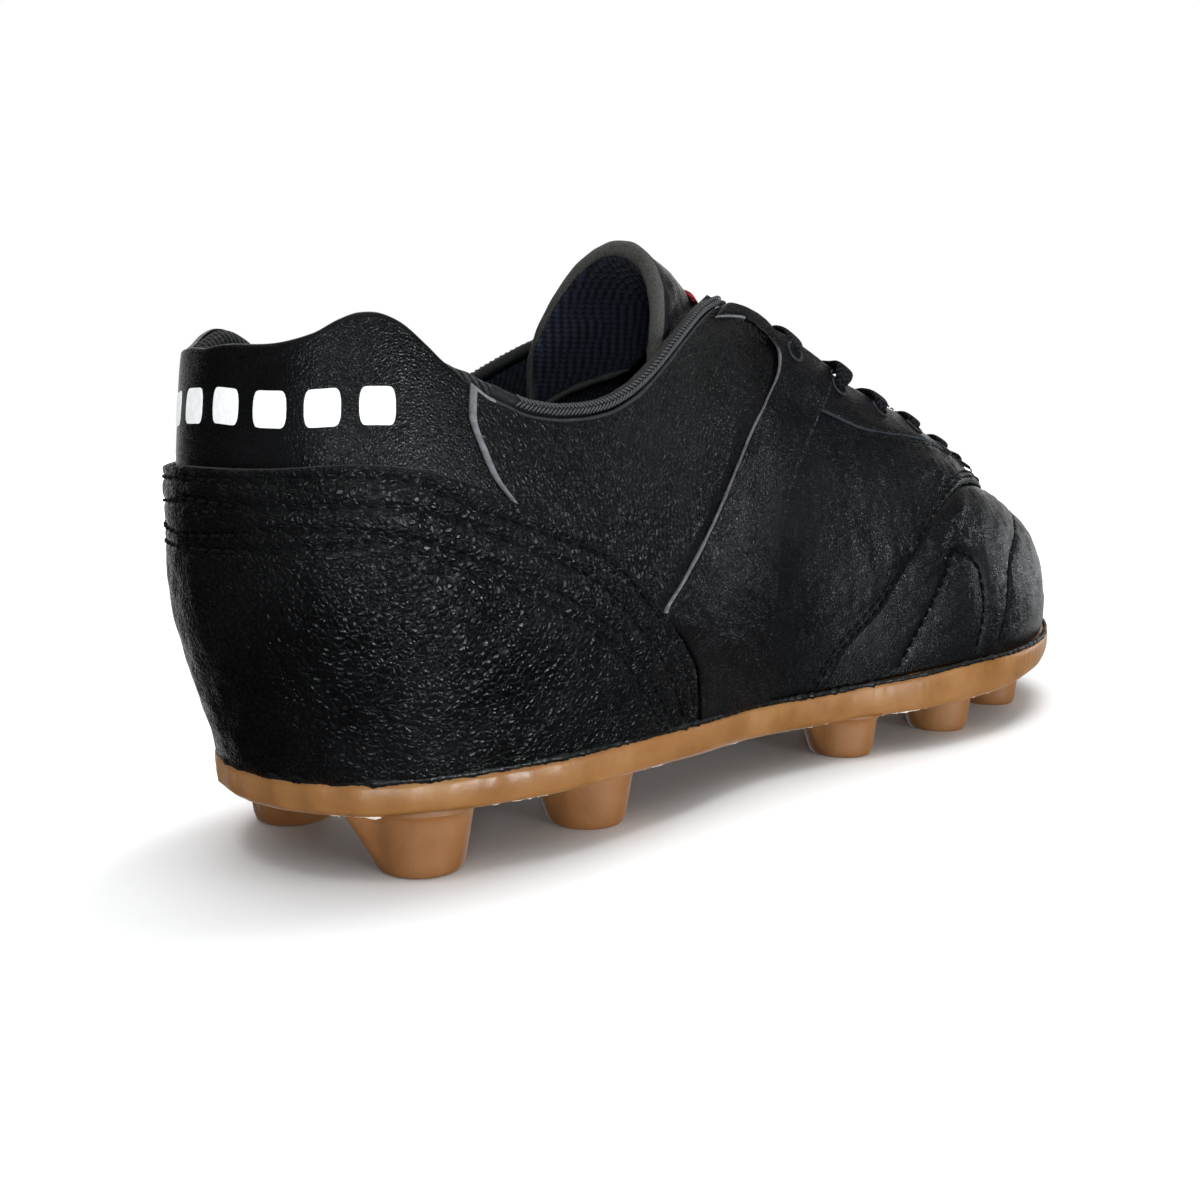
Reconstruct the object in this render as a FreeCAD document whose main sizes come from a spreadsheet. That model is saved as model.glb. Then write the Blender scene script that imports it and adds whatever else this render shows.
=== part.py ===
import FreeCAD, Part
import math, os

V = FreeCAD.Vector

# Soccer cleat, left shoe, moulded outsole with conical studs.
# Working frame: X runs from the back of the outsole to the toe, +Y is the outer (lateral)
# side, -Y the inner (medial) side, Z = 0 is the ground under the stud tips.  Every piece is
# then placed with the same offset, so that the origin is under the middle of the shoe.

doc = FreeCAD.newDocument("soccer_cleat")
sheet = doc.addObject("Spreadsheet::Sheet", "dims")
CELLS = [
    ("outsole_length", 282.0), ("width_factor", 1.0), ("height_factor", 1.0),
    ("origin_x", 136.07), ("origin_y", 3.03),
    ("plate_block", 60.0), ("plate_inset", -1.6),
    ("stud_tip_radius", 7.9), ("stud_root_radius", 10.4), ("stud_block", 15.6),
    ("fore_tip_radius", 7.7), ("fore_root_radius", 9.6),
    ("toe_tip_radius", 6.6), ("toe_root_radius", 8.4),
    ("web_length", 12.0), ("web_width", 6.0), ("web_height", 14.0),
    ("board_thick", 2.0), ("filler_thick", 1.4), ("shank_thick", 1.0), ("shank_width", 16.0),
    ("shank_length", 96.0), ("sockliner_thick", 3.0), ("wedge_thick", 2.4),
    ("leather", 1.05), ("lining", 0.9), ("stiffener", 1.2), ("collar_foam", 4.2),
    ("tongue_foam", 3.0), ("lace_dia", 3.0), ("aglet_dia", 3.4), ("aglet_length", 22.0),
    ("binding_radius", 1.6), ("layer_gap", 0.12), ("eyelet_dia", 4.2),
]
for i, (name, val) in enumerate(CELLS):
    sheet.set("A%d" % (i + 1), name)
    sheet.set("B%d" % (i + 1), "%g" % val)
    sheet.setAlias("B%d" % (i + 1), name)
doc.recompute()


def cell(name):
    return float(sheet.get(name))


KX = cell("outsole_length") / 282.0
KY = cell("width_factor")
KZ = cell("height_factor")
ORG = V(-cell("origin_x"), -cell("origin_y"), 0)
GAP = cell("layer_gap")
LEATHER = cell("leather")
NODES = []


def done(obj, label):
    """give the sub-part its own label and place"""
    obj.Label = label
    obj.Placement = FreeCAD.Placement(ORG, FreeCAD.Rotation())
    NODES.append(obj)
    return obj


# ---------------------------------------------------------------- small splines
def tri(a, b, c, d):
    n = len(d)
    b = b[:]
    d = d[:]
    for i in range(1, n):
        w = a[i] / b[i - 1]
        b[i] -= w * c[i - 1]
        d[i] -= w * d[i - 1]
    x = [0.0] * n
    x[-1] = d[-1] / b[-1]
    for i in range(n - 2, -1, -1):
        x[i] = (d[i] - c[i] * x[i + 1]) / b[i]
    return x


def nat2(y):
    n = len(y)
    if n < 3:
        return [0.0] * n
    a = [0.0] + [1.0] * (n - 2) + [0.0]
    b = [1.0] + [4.0] * (n - 2) + [1.0]
    d = [0.0] + [6 * (y[i + 1] - 2 * y[i] + y[i - 1]) for i in range(1, n - 1)] + [0.0]
    return tri(a, b, a, d)


def ev(y, m, t):
    n = len(y)
    i = min(max(int(math.floor(t)), 0), n - 2)
    f = t - i
    g = 1 - f
    return g * y[i] + f * y[i + 1] + ((g ** 3 - g) * m[i] + (f ** 3 - f) * m[i + 1]) / 6.0


def pch(xs, ys, x):
    n = len(xs)
    if x <= xs[0]:
        return ys[0]
    if x >= xs[-1]:
        return ys[-1]
    h = [xs[i + 1] - xs[i] for i in range(n - 1)]
    d = [(ys[i + 1] - ys[i]) / h[i] for i in range(n - 1)]
    k = 0
    while x > xs[k + 1]:
        k += 1

    def sl(i):
        if i == 0:
            return d[0]
        if i == n - 1:
            return d[-1]
        if d[i - 1] * d[i] <= 0:
            return 0.0
        w1 = 2 * h[i] + h[i - 1]
        w2 = h[i] + 2 * h[i - 1]
        return (w1 + w2) / (w1 / d[i - 1] + w2 / d[i])
    t = (x - xs[k]) / h[k]
    m0, m1 = sl(k) * h[k], sl(k + 1) * h[k]
    return ((2 * t ** 3 - 3 * t * t + 1) * ys[k] + (t ** 3 - 2 * t * t + t) * m0 +
            (3 * t * t - 2 * t ** 3) * ys[k + 1] + (t ** 3 - t * t) * m1)


# ---------------------------------------------------------------- last shape
XS = [0, 4, 14, 32, 58, 88, 118, 148, 178, 206, 230, 250, 266, 277, 282]
XK = [0, .5, 1.5, 3, 12, 28, 50, 80, 110, 140, 170, 200, 225, 245, 260, 272, 278, 280.5, 281.5, 282]
MEDW = [0, 5.6, 9.7, 13.6, 25.5, 32.2, 35.7, 33.9, 29.9, 33, 41.4, 44.3, 41.3, 35.3, 28.6, 20.6, 13.2, 8.0, 4.6, 0]
LATW = [0, 5.4, 9.3, 13.1, 25, 31.5, 34, 36, 39, 43.5, 48, 49, 44.5, 37.5, 30.0, 20.8, 13.2, 8.0, 4.6, 0]
ZX = [0, 60, 130, 190, 240, 282]
ZT = [18.1, 19.1, 17.6, 20.6, 20.9, 22.0]
ZB = [11.8, 12.0, 9.7, 10.6, 13.0, 14.5]
XA = [34, 34.3, 36, 44, 62, 90, 118, 146, 172, 197, 214, 226, 234, 234, 234]
NL = 7
FR = [0, .16, .32, .49, .66, .83, 1.0]
RTZ = [101, 102, 106, 102, 92, 108]
RT = [[1, 1.12, 1.22, 1.26, 1.26, 1.23, 1.17],
      [1, 1.11, 1.20, 1.235, 1.23, 1.20, 1.14],
      [1, 1.07, 1.125, 1.14, 1.11, 1.05, .98],
      [1, 1.05, 1.08, 1.06, 1.01, .93, .86],
      [1, 1.04, 1.06, 1.04, .98, .90, .82],
      [1, 1.04, 1.05, 1.00, .89, .74, .58]]
FN = [2.0, 2.05, 2.1, 2.15, 2.2, 2.25, 2.3, 2.3, 2.3]
FB = [.05, .05, .05, .045, .04, .03, .03, .03, .03]
PH = [0, 13, 27, 42, 57, 73, 90]
NS = len(XS)
NU = 28


def plan(side, x):
    return pch(XK, MEDW if side < 0 else LATW, x)


def shift(x):
    return 2.7 * max(0.0, (x - 140) / 142.0) ** 1.6


def zfeath(x):
    return pch(ZX, ZT, x)


def zbot(x):
    return pch(ZX, ZB, x)


def yaxis(x):
    return pch([34, 62, 90, 118, 146, 172, 197, 214, 226, 238],
               [0, -1, -5, -10, -13, -15, -16.5, -16.5, -15.5, -14], x)


def ridge(x):
    return pch([90, 118, 146, 172, 197, 214, 226, 234],
               [122, 111, 98.5, 86, 74.5, 67, 62.5, 59.5], x)


def rows(side):
    out = []
    for i, xb in enumerate(XS):
        by = side * plan(side, xb) + shift(xb)
        ax = XA[i]
        ay = yaxis(ax)
        zf = zfeath(xb)
        row = []
        for j in range(NL):
            if i < 6:
                r = RT[i][j]
                z = zf + (RTZ[i] - zf) * FR[j]
            else:
                n = FN[i - 6]
                ph = math.radians(PH[j])
                c = math.cos(ph) ** (2 / n) if j < 6 else 0.0
                r = c * (1 + FB[i - 6] * math.sin(2 * ph))
                z = zf + (ridge(ax) - zf) * math.sin(ph) ** (2 / n)
            row.append((ax + (xb - ax) * r, ay + (by - ay) * r, z))
        out.append(row)
    return out


MED, LAT = rows(-1), rows(1)
LOOP = [MED[i] for i in range(NS)] + [LAT[i] for i in range(NS - 2, 0, -1)]


def per2(y):
    n = len(y)
    m = [0.0] * n
    for _ in range(40):
        for i in range(n):
            m[i] = (6 * (y[(i + 1) % n] - 2 * y[i] + y[i - 1]) - m[i - 1] - m[(i + 1) % n]) / 4.0
    return m


LV = [[[LOOP[i][j][k] for i in range(NU)] for k in range(3)] for j in range(NL)]
LM = [[per2(LV[j][k]) for k in range(3)] for j in range(NL)]


def level(u, j):
    u = u % NU
    i = int(u)
    f = u - i
    g = 1 - f
    k2 = (i + 1) % NU
    o = []
    for k in range(3):
        y = LV[j][k]
        m = LM[j][k]
        o.append(g * y[i] + f * y[k2] + ((g ** 3 - g) * m[i] + (f ** 3 - f) * m[k2]) / 6.0)
    return o


def surf(u, v):
    """point of the outer last surface: u runs 0..28 round the shoe from the heel, v from
    the feather line (0) to the top line (1)"""
    P = [level(u, j) for j in range(NL)]
    t = v * (NL - 1)
    um = u % NU
    Q = None
    if 6 <= um <= NU - 6 and abs(um - 14) > 1e-9:
        Q = [level(NU - um, j) for j in (5, 4, 3)]
    o = []
    for k in range(3):
        y = [p[k] for p in P]
        if Q:
            y = y + [q[k] for q in Q]
        o.append(ev(y, nat2(y), t))
    return (o[0] * KX, o[1] * KY, o[2] * KZ)


def cross(a, b):
    return (a[1] * b[2] - a[2] * b[1], a[2] * b[0] - a[0] * b[2], a[0] * b[1] - a[1] * b[0])


def unit(a):
    n = math.sqrt(a[0] ** 2 + a[1] ** 2 + a[2] ** 2) or 1.0
    return (a[0] / n, a[1] / n, a[2] / n)


def normal(u, v):
    e = 0.04
    if min(u % NU, NU - (u % NU)) > 11.0:
        v = min(v, .93)
    v0, v1 = max(v - .02, 0.0), min(v + .02, 1.0)
    a, b = surf(u - e, min(v, .985)), surf(u + e, min(v, .985))
    c, d = surf(u, v0), surf(u, v1)
    return unit(cross([b[i] - a[i] for i in range(3)], [d[i] - c[i] for i in range(3)]))


def off(u, v, h):
    """point at distance h outside the last surface"""
    p = surf(u, v)
    if abs(h) < 1e-9:
        return V(*p)
    n = normal(u, v)
    return V(p[0] + n[0] * h, p[1] + n[1] * h, p[2] + n[2] * h)


# ---------------------------------------------------------------- skins as closed solids
class Curve:
    """smooth curve through (u, v) points, parameter 0..1 by length"""

    def __init__(self, pts):
        self.p = [(float(a), float(b)) for a, b in pts]
        s = [0.0]
        for i in range(1, len(pts)):
            du = self.p[i][0] - self.p[i - 1][0]
            dv = (self.p[i][1] - self.p[i - 1][1]) * 5
            s.append(s[-1] + math.hypot(du, dv))
        self.s = [x / s[-1] for x in s]

    def __call__(self, t):
        return (pch(self.s, [q[0] for q in self.p], t), pch(self.s, [q[1] for q in self.p], t))


def coons(bot, top, left, right):
    B, T, L, R = [Curve(c) for c in (bot, top, left, right)]
    c00, c10, c01, c11 = B(0), B(1), T(0), T(1)

    def f(a, b):
        o = []
        for k in (0, 1):
            o.append((1 - b) * B(a)[k] + b * T(a)[k] + (1 - a) * L(b)[k] + a * R(b)[k] -
                     (1 - a) * (1 - b) * c00[k] - a * (1 - b) * c10[k] -
                     (1 - a) * b * c01[k] - a * b * c11[k])
        return o
    return f


def bsurf(grid):
    s = Part.BSplineSurface()
    s.interpolate(grid)
    return s


def skin_solid(outer, inner):
    """closed solid between two point grids with the same layout"""
    so, si = bsurf(outer), bsurf(inner)
    faces = [so.toShape(), si.toShape()]
    uo = so.bounds()
    ui = si.bounds()
    for k in (0, 1):
        faces.append(Part.makeRuledSurface(so.uIso(uo[k]).toShape(), si.uIso(ui[k]).toShape()))
        faces.append(Part.makeRuledSurface(so.vIso(uo[2 + k]).toShape(), si.vIso(ui[2 + k]).toShape()))
    c = Part.makeCompound(faces)
    c.sewShape(0.01)
    sh = c.Shells[0]
    sol = Part.Solid(sh)
    if sol.Volume < 0:
        sol.reverse()
    return sol


def panel(label, region, h_out, h_in, n=16, m=8):
    """panel over a region of the last surface, from h_in to h_out (numbers or functions)"""
    fo = h_out if callable(h_out) else (lambda u, v: h_out)
    fi = h_in if callable(h_in) else (lambda u, v: h_in)
    go, gi = [], []
    for i in range(n):
        ro, ri = [], []
        for j in range(m):
            u, v = region(i / (n - 1.0), j / (m - 1.0))
            v = min(max(v, 0.0), 1.0)
            ro.append(off(u, v, fo(u, v)))
            ri.append(off(u, v, fi(u, v)))
        go.append(ro)
        gi.append(ri)
    o = doc.addObject("Part::Feature", label)
    o.Shape = skin_solid(go, gi)
    return done(o, label)


def mir(pts):
    """the same edge on the outer side of the shoe"""
    return [(NU - u, v) for u, v in pts]


# ---------------------------------------------------------------- sole pieces
def outline(inset, x0=None, x1=None):
    """plan points of one closed outline, set in from the feather line"""
    med, lat = [], []
    L = 282.0
    n = 22
    for i in range(n + 1):
        a = math.pi * i / n
        x = L / 2 * (1 - math.cos(a))
        for side, lst in ((-1, med), (1, lat)):
            y = side * plan(side, x) + shift(x)
            e = 0.4
            xa, xb = max(x - e, 0.0), min(x + e, L)
            ta = (xb - xa, side * (plan(side, xb) - plan(side, xa)) + shift(xb) - shift(xa))
            if i == 0:
                ta = (0, side)
            if i == n:
                ta = (0, -side)
            q = math.hypot(*ta)
            nx, ny = -ta[1] / q * -side, ta[0] / q * -side
            lst.append((x + nx * inset, y + ny * inset))
    return med, lat


def spline_sketch(body, name, plane, curves):
    """sketch holding closed loops made of splines and straight lines"""
    sk = body.newObject("Sketcher::SketchObject", name)
    pl = [f for f in body.Origin.OriginFeatures if f.Role == plane][0]
    sk.AttachmentSupport = [(pl, "")]
    sk.MapMode = "FlatFace"
    for pts in curves:
        vs = [V(p[0], p[1], 0) for p in pts]
        if len(vs) == 2:
            sk.addGeometry(Part.LineSegment(vs[0], vs[1]), False)
        else:
            b = Part.BSplineCurve()
            b.interpolate(vs)
            sk.addGeometry(b, False)
    return sk


def role(body, r):
    return [f for f in body.Origin.OriginFeatures if f.Role == r][0]


def sole_layer(label, inset, ztop, zlow, xs, med=None, lat=None, block="plate_block", taper=None):
    """layer of the sole: plan outline padded up, then trimmed above and below by side
    profiles"""
    b = doc.addObject("PartDesign::Body", label)
    if med is None:
        med, lat = outline(inset)
        lat = lat[:]
        lat[0] = med[0]
        lat[-1] = med[-1]
    pts = med + lat[::-1][1:-1]
    sk = b.newObject("Sketcher::SketchObject", label + "_plan")
    sk.AttachmentSupport = [(role(b, "XY_Plane"), "")]
    sk.MapMode = "FlatFace"
    bs = Part.BSplineCurve()
    bs.interpolate(Points=[V(p[0] * KX, p[1] * KY, 0) for p in pts], PeriodicFlag=True)
    sk.addGeometry(bs, False)
    pad = b.newObject("PartDesign::Pad", label + "_pad")
    pad.Profile = sk
    pad.setExpression("Length", "dims.%s" % block)
    doc.recompute()
    # side profile above
    for nm, prof, far in (("over", ztop, 70.0), ("under", zlow, -10.0)):
        cur = [(x * KX, prof(x) * KZ) for x in xs]
        sk2 = spline_sketch(b, label + "_" + nm, "XZ_Plane", [
            cur, [cur[-1], (cur[-1][0], far)], [(cur[-1][0], far), (cur[0][0], far)],
            [(cur[0][0], far), cur[0]]])
        pk = b.newObject("PartDesign::Pocket", label + "_cut_" + nm)
        pk.Profile = sk2
        pk.Type = 1
        pk.Midplane = True
        doc.recompute()
    b.Tip = pk
    return done(b, label)


XP = [-14, 10, 40, 75, 110, 140, 170, 200, 230, 260, 296]
plate = sole_layer("outsole_plate", -1.6, zfeath, zbot, XP)

# ---------------------------------------------------------------- studs
# (label, x, y, kind)
STUDS = [
    ("stud_heel_medial", 21, -22.5, "heel"), ("stud_heel_lateral", 21, 20, "heel"),
    ("stud_waist_medial", 62.5, -23.5, "heel"), ("stud_waist_lateral", 64, 23, "heel"),
    ("stud_ball_medial", 149, -27.5, "fore"), ("stud_ball_lateral", 146, 31, "fore"),
    ("stud_mid_medial", 192, -30, "fore"), ("stud_mid_lateral", 190, 36, "fore"),
    ("stud_front_lateral", 229, 29, "fore"), ("stud_centre_rear", 170, 2, "toe"),
    ("stud_front_medial", 234, -23, "fore"), ("stud_toe", 258, 2, "toe"),
]
for lab, sx, sy, kind in STUDS:
    tip, root = {"heel": ("stud_tip_radius", "stud_root_radius"),
                 "fore": ("fore_tip_radius", "fore_root_radius"),
                 "toe": ("toe_tip_radius", "toe_root_radius")}[kind]
    # the two ball studs stand close to the edge: their cones stop just inside the plate
    rise = 0.72 if "ball" in lab else 1.0
    cone = doc.addObject("Part::Cone", lab + "_cone")
    cone.setExpression("Radius1", "dims." + tip)
    cone.setExpression("Radius2", "dims.%s + (dims.%s - dims.%s) * %g" % (tip, root, tip, rise))
    cone.setExpression("Height", "dims.stud_block * %g" % rise)
    z0 = 1.6 if lab == "stud_toe" else 0.0
    cone.Placement = FreeCAD.Placement(ORG + V(sx * KX, sy * KY, z0), FreeCAD.Rotation())
    doc.recompute()
    # rounded tip
    fil = doc.addObject("Part::Fillet", lab + "_round")
    fil.Base = cone
    low = [i + 1 for i, e in enumerate(cone.Shape.Edges)
           if abs(e.BoundBox.ZMin - z0) < 1e-6 and abs(e.BoundBox.ZMax - z0) < 1e-6]
    fil.Edges = [(low[0], 1.1, 1.1)]
    src = fil
    if kind == "heel" and sx < 40:
        # raked web from the heel stud back and inwards to the plate edge
        web = doc.addObject("Part::Wedge", lab + "_web")
        web.Xmin, web.Xmax, web.X2min, web.X2max = -9.0, 0.0, -11.5, 0.0
        web.Ymin, web.Ymax = 0.0, 14.0
        web.Zmin, web.Zmax, web.Z2min, web.Z2max = -3.0, 3.0, -3.6, 3.6
        r = FreeCAD.Rotation(V(1, 0, 0), 90)
        web.Placement = FreeCAD.Placement(ORG + V((sx - 3.2) * KX, (sy - (2.0 if sy < 0 else -2.0)) * KY, 2.2),
                                          FreeCAD.Rotation(V(0, 0, 1), 26 if sy < 0 else -26).multiply(r))
        fu = doc.addObject("Part::Fuse", lab + "_joined")
        fu.Base = fil
        fu.Tool = web
        src = fu
    cut = doc.addObject("Part::Cut", lab)
    cut.Base = src
    cut.Tool = plate
    cut.Label = lab
    NODES.append(cut)
doc.recompute()

# ---------------------------------------------------------------- inside of the sole
def up(f, a, b=0.0):
    return lambda x: f(x) + a + b


sole_layer("insole_board", 7.0, up(zfeath, 3.9), up(zfeath, 1.9), XP)
sole_layer("sock_liner", 7.6, up(zfeath, 7.0), up(zfeath, 4.0), XP)


def strip(x0, x1, wm, wl, yc=0.0, n=14):
    """long rounded plan shape between x0 and x1"""
    med, lat = [], []
    for i in range(n + 1):
        a = math.pi * i / n
        x = (x0 + x1) / 2 - (x1 - x0) / 2 * math.cos(a)
        e = math.sin(a) ** 0.5 if 0 < i < n else 0.0
        t = i / float(n)
        med.append((x, yc - e * (wm[0] * (1 - t) + wm[1] * t)))
        lat.append((x, yc + e * (wl[0] * (1 - t) + wl[1] * t)))
    return med, lat


m_, l_ = strip(166, 262, (27, 17), (33, 20))
sole_layer("forefoot_filler", 0, up(zfeath, 1.75), up(zfeath, 0.25), XP, m_, l_)
m_, l_ = strip(52, 160, (8, 8), (8, 8), 0.5)
sole_layer("waist_shank", 0, up(zfeath, 1.5), up(zfeath, 0.3), XP, m_, l_)
m_, l_ = strip(10, 50, (17, 17), (17, 17), 0)
sole_layer("heel_filler", 0, up(zfeath, 1.75), up(zfeath, 0.25), XP, m_, l_)

# ---------------------------------------------------------------- edges of the leathers
COLLAR = [(0.0, .915), (0.33, .917), (0.87, .92), (1.56, .955), (1.74, .953), (2.04, .928),
          (2.43, .841), (2.69, .804), (2.9, .785), (3.15, .787), (3.45, .812), (3.75, .85),
          (4.0, .873), (4.3, .885), (4.75, .889), (5.41, .876), (5.88, .86), (6.1, .85)]


def vcol(u):
    u = u % NU
    u = min(u, NU - u)
    return pch([c[0] for c in COLLAR], [c[1] for c in COLLAR], u)


# seam between the collar panel and the quarter, seen from the collar edge downwards
CPF = [(2.70, .79), (2.70, .738), (2.79, .682), (2.91, .627), (3.06, .587)]
FOXTOP = [(0.0, .665), (0.6, .66), (1.3, .65), (2.39, .611), (2.98, .584)]
FOXFRONT = [(2.98, .584), (3.35, .56), (3.65, .535), (4.13, .432), (4.55, .257), (4.78, .126), (4.85, .004)]
SADREAR = [(5.55, .845), (6.07, .757), (6.23, .697), (6.13, .594), (5.86, .518), (5.52, .482), (5.12, .461),
           (4.86, .40), (4.86, .30), (4.96, .13), (5.0, .004)]
SADFRONT = [(6.95, .80), (6.81, .68), (6.56, .544), (6.36, .456), (6.17, .384), (5.96, .27), (5.85, .13), (5.8, .004)]
LOBE = [(6.45, .004), (6.75, .08), (7.13, .165), (7.32, .237), (7.6, .33), (7.91, .431), (8.6, .60), (9.6, .75),
        (10.8, .88), (12.0, .955)]

L1 = LEATHER
L2 = LEATHER + GAP


DT = {}


def sect(um):
    """table of distance from the top of a section against v"""
    k = round(um, 4)
    if k not in DT:
        tab = [(0.0, 1.0)]
        p = surf(um, 1.0)
        for i in range(1, 41):
            v = 1.0 - i * .02
            q = surf(um, v)
            tab.append((tab[-1][0] + math.sqrt(sum((p[j] - q[j]) ** 2 for j in range(3))), v))
            p = q
        DT[k] = tab
    return DT[k]


def dist_v(u, d):
    """v at distance d below the top of the section at u, measured on the leather"""
    tab = sect(u % NU)
    return pch([t[0] for t in tab], [t[1] for t in tab], d)


def v_dist(u, v):
    tab = sect(u % NU)[::-1]
    return pch([t[1] for t in tab], [t[0] for t in tab], v)


# half width of the throat opening along the ridge, u 6.1 (top) to 9.7 (end)
def throat_w(um):
    return pch([5.9, 6.5, 8.0, 9.2, 9.6, 9.75], [12.0, 11.5, 9.5, 7.0, 4.5, 1.2], um)


def edge(side, pts):
    """edge points on one side; a negative v is a distance from the ridge in mm"""
    out = []
    for u, v in pts:
        uu = u if side < 0 else NU - u
        out.append((uu, dist_v(uu, -v) if v < 0 else v))
    return out


def th(us, more=0.0):
    """throat edge points, moved out by more"""
    return [(u, -(throat_w(u) + more)) for u in us]


TU = [6.1, 6.5, 7.0, 7.6, 8.3, 9.0, 9.4, 9.62, 9.75]
SEAM = [(9.95, -.5), (10.8, -.5), (11.6, -.5), (12.0, .985)]

# heel: collar panel (one piece round the heel), tucked under the foxing and the quarters
def collar_region(a, b):
    s = -1.0 + 2 * a
    w = abs(s)
    lo = Curve([(0, .64), (0.6, .635), (1.3, .625), (2.4, .585), (3.15, .555)])
    hi = Curve([(0.0, .915), (0.33, .917), (0.87, .92), (1.56, .955), (1.74, .953), (2.04, .928),
                (2.43, .841), (2.72, .80), (2.86, .788)])
    p, q = lo(w), hi(w)
    sg = 1 if s >= 0 else -1
    return (sg * (p[0] + (q[0] - p[0]) * b), p[1] + (q[1] - p[1]) * b)


panel("collar_panel", collar_region, -GAP, -GAP - .95, n=25, m=7)


# foxing, the outer heel leather, from medial front edge round the heel to the lateral one
def fox_region(a, b):
    s = -1.0 + 2 * a
    w = abs(s)
    top = Curve(FOXTOP + FOXFRONT[1:3])(w)
    bot = (w * 4.85, .004)
    # front edge bulges along its own curve
    mid = Curve([FOXFRONT[6], FOXFRONT[5], FOXFRONT[4], FOXFRONT[3], FOXFRONT[2]])(b)
    u = bot[0] + (top[0] - bot[0]) * b
    v = bot[1] + (top[1] - bot[1]) * b
    k = w ** 3
    lin = (4.85 + (FOXFRONT[2][0] - 4.85) * b, .004 + (FOXFRONT[2][1] - .004) * b)
    u += k * (mid[0] - lin[0])
    v += k * (mid[1] - lin[1])
    sg = 1 if s >= 0 else -1
    return (sg * u, v)


panel("heel_foxing", fox_region, L2 + L1, L2, n=31, m=9)


# heel stiffener, between the collar panel or foxing and the lining
def stiff_region(a, b):
    s = -1.0 + 2 * a
    w = abs(s)
    sg = 1 if s >= 0 else -1
    u = w * (3.98 - .7 * b ** 2)
    return (sg * u, .01 + .53 * b)


panel("heel_stiffener", stiff_region, -GAP, -GAP - 1.2, n=23, m=7)

QLEFT = [(4.5, .004), (4.42, .13), (4.2, .27), (3.8, .40), (3.3, .50), (3.02, .587), (2.87, .627), (2.76, .682),
         (2.68, .738), (2.71, .80)]
QTOP = [(2.71, .80), (2.9, .785), (3.15, .787), (3.45, .812), (3.75, .85), (4.0, .873), (4.3, .885), (4.75, .889),
        (5.41, .876), (5.75, .865), (6.02, -12.6)]
QRIGHT = [(5.55, .004), (5.6, .13), (5.75, .27), (5.95, .40), (6.2, .52), (6.35, .62), (6.25, .75), (6.02, -12.6)]
QBOT = [(4.5, .004), (5.0, .004), (5.55, .004)]
# the wing of the vamp: rear edge under the saddle, lower edge along the lobe
WREAR = [(5.6, .004), (5.66, .13), (5.81, .27), (6.01, .40), (6.26, .52), (6.41, .62), (6.32, .75), (6.1, -12.0)]
WBOT = [(5.6, .004), (6.0, .004)] + LOBE

for side, sfx in ((-1, "medial"), (1, "lateral")):
    def M(c):
        return edge(side, c)
    panel("quarter_" + sfx, coons(M(QBOT), M(QTOP), M(QLEFT), M(QRIGHT)), L1, 0.0, n=20, m=16)
    panel("saddle_" + sfx,
          coons(M([SADREAR[-1], (5.4, .004), SADFRONT[-1]]),
                M([SADREAR[0], (5.95, .83), (6.5, .80), SADFRONT[0]]),
                M(SADREAR[::-1]), M(SADFRONT[::-1])),
          L2 + L1, L2, n=10, m=18)
    panel("vamp_wing_" + sfx,
          coons(M(WBOT), M(th(TU) + SEAM), M(WREAR), M([(12.0, .955), (12.0, .97), (12.0, .985)])),
          L1, 0.0, n=34, m=10)


# toe piece: from the medial lobe seam round the toe, tucked under the wings
def toe_region(a, b):
    s = -1.0 + 2 * a
    w = abs(s)
    lob = Curve([(14.0, .975), (13.0, .972), (12.0, .94), (10.8, .885), (9.6, .775), (8.6, .64), (7.75, .47), (7.4, .36),
                 (7.1, .26), (6.88, .19), (6.5, .115), (6.3, .05)])(w)
    bot = (14.0 - w * 7.75, .004)
    u = bot[0] + (lob[0] - bot[0]) * b
    v = bot[1] + (lob[1] - bot[1]) * b
    if s > 0:
        u = NU - u
    return (u, v)


panel("toe_vamp", toe_region, -GAP, -GAP - LEATHER, n=41, m=9)

# eyestay facings on both sides of the throat
FLOW = [(6.0, -24.5), (6.3, -26.5), (6.74, -25.5), (7.1, -24.0), (7.6, -21.0), (8.3, -16.5), (9.0, -12.5), (9.6, -8.5),
        (9.95, -5.0)]
FU = [6.02, 6.5, 7.0, 7.6, 8.3, 9.0, 9.4, 9.62, 9.74]
H3 = L2 + L1 + GAP
for side, sfx in ((-1, "medial"), (1, "lateral")):
    def M(c):
        return edge(side, c)
    panel("eyestay_" + sfx,
          coons(M(FLOW), M(th(FU)), M([FLOW[0], (5.99, -18.0), (6.02, -12.0)]),
                M([FLOW[-1], (9.86, -3.2), (9.74, -1.4)])),
          H3 + .95, H3, n=22, m=6)
    panel("eyelet_stay_" + sfx,
          coons(M([(6.15, -24.0), (7.0, -21.0), (8.0, -17.0), (9.0, -12.6), (9.4, -10.5)]),
                M([(6.15, -13.2), (7.0, -12.0), (8.0, -10.2), (9.0, -8.2), (9.4, -6.4)]),
                M([(6.15, -24.0), (6.15, -20.0), (6.15, -13.2)]),
                M([(9.4, -10.5), (9.4, -8.5), (9.4, -6.4)])),
          -.84, -1.34, n=16, m=5)

# ---------------------------------------------------------------- linings and padding
HS = -GAP - 1.2 - .28                     # under the heel stiffener


def step(x, a, b):
    t = min(max((x - a) / (b - a), 0.0), 1.0)
    return t * t * (3 - 2 * t)


def pad_h(u, v):
    """thickness of the collar padding"""
    um = min(u % NU, NU - (u % NU))
    vt = vcol(um)
    return cell("collar_foam") * step(v, .50, .64) * (1 - step(v, vt - .10, vt - .005)) * (1 - step(um, 2.2, 3.3))


def heel_lining_out(u, v):
    um = min(u % NU, NU - (u % NU))
    return HS - pad_h(u, v) * 1.0 - (.15 if pad_h(u, v) > .05 else 0.0)


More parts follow.
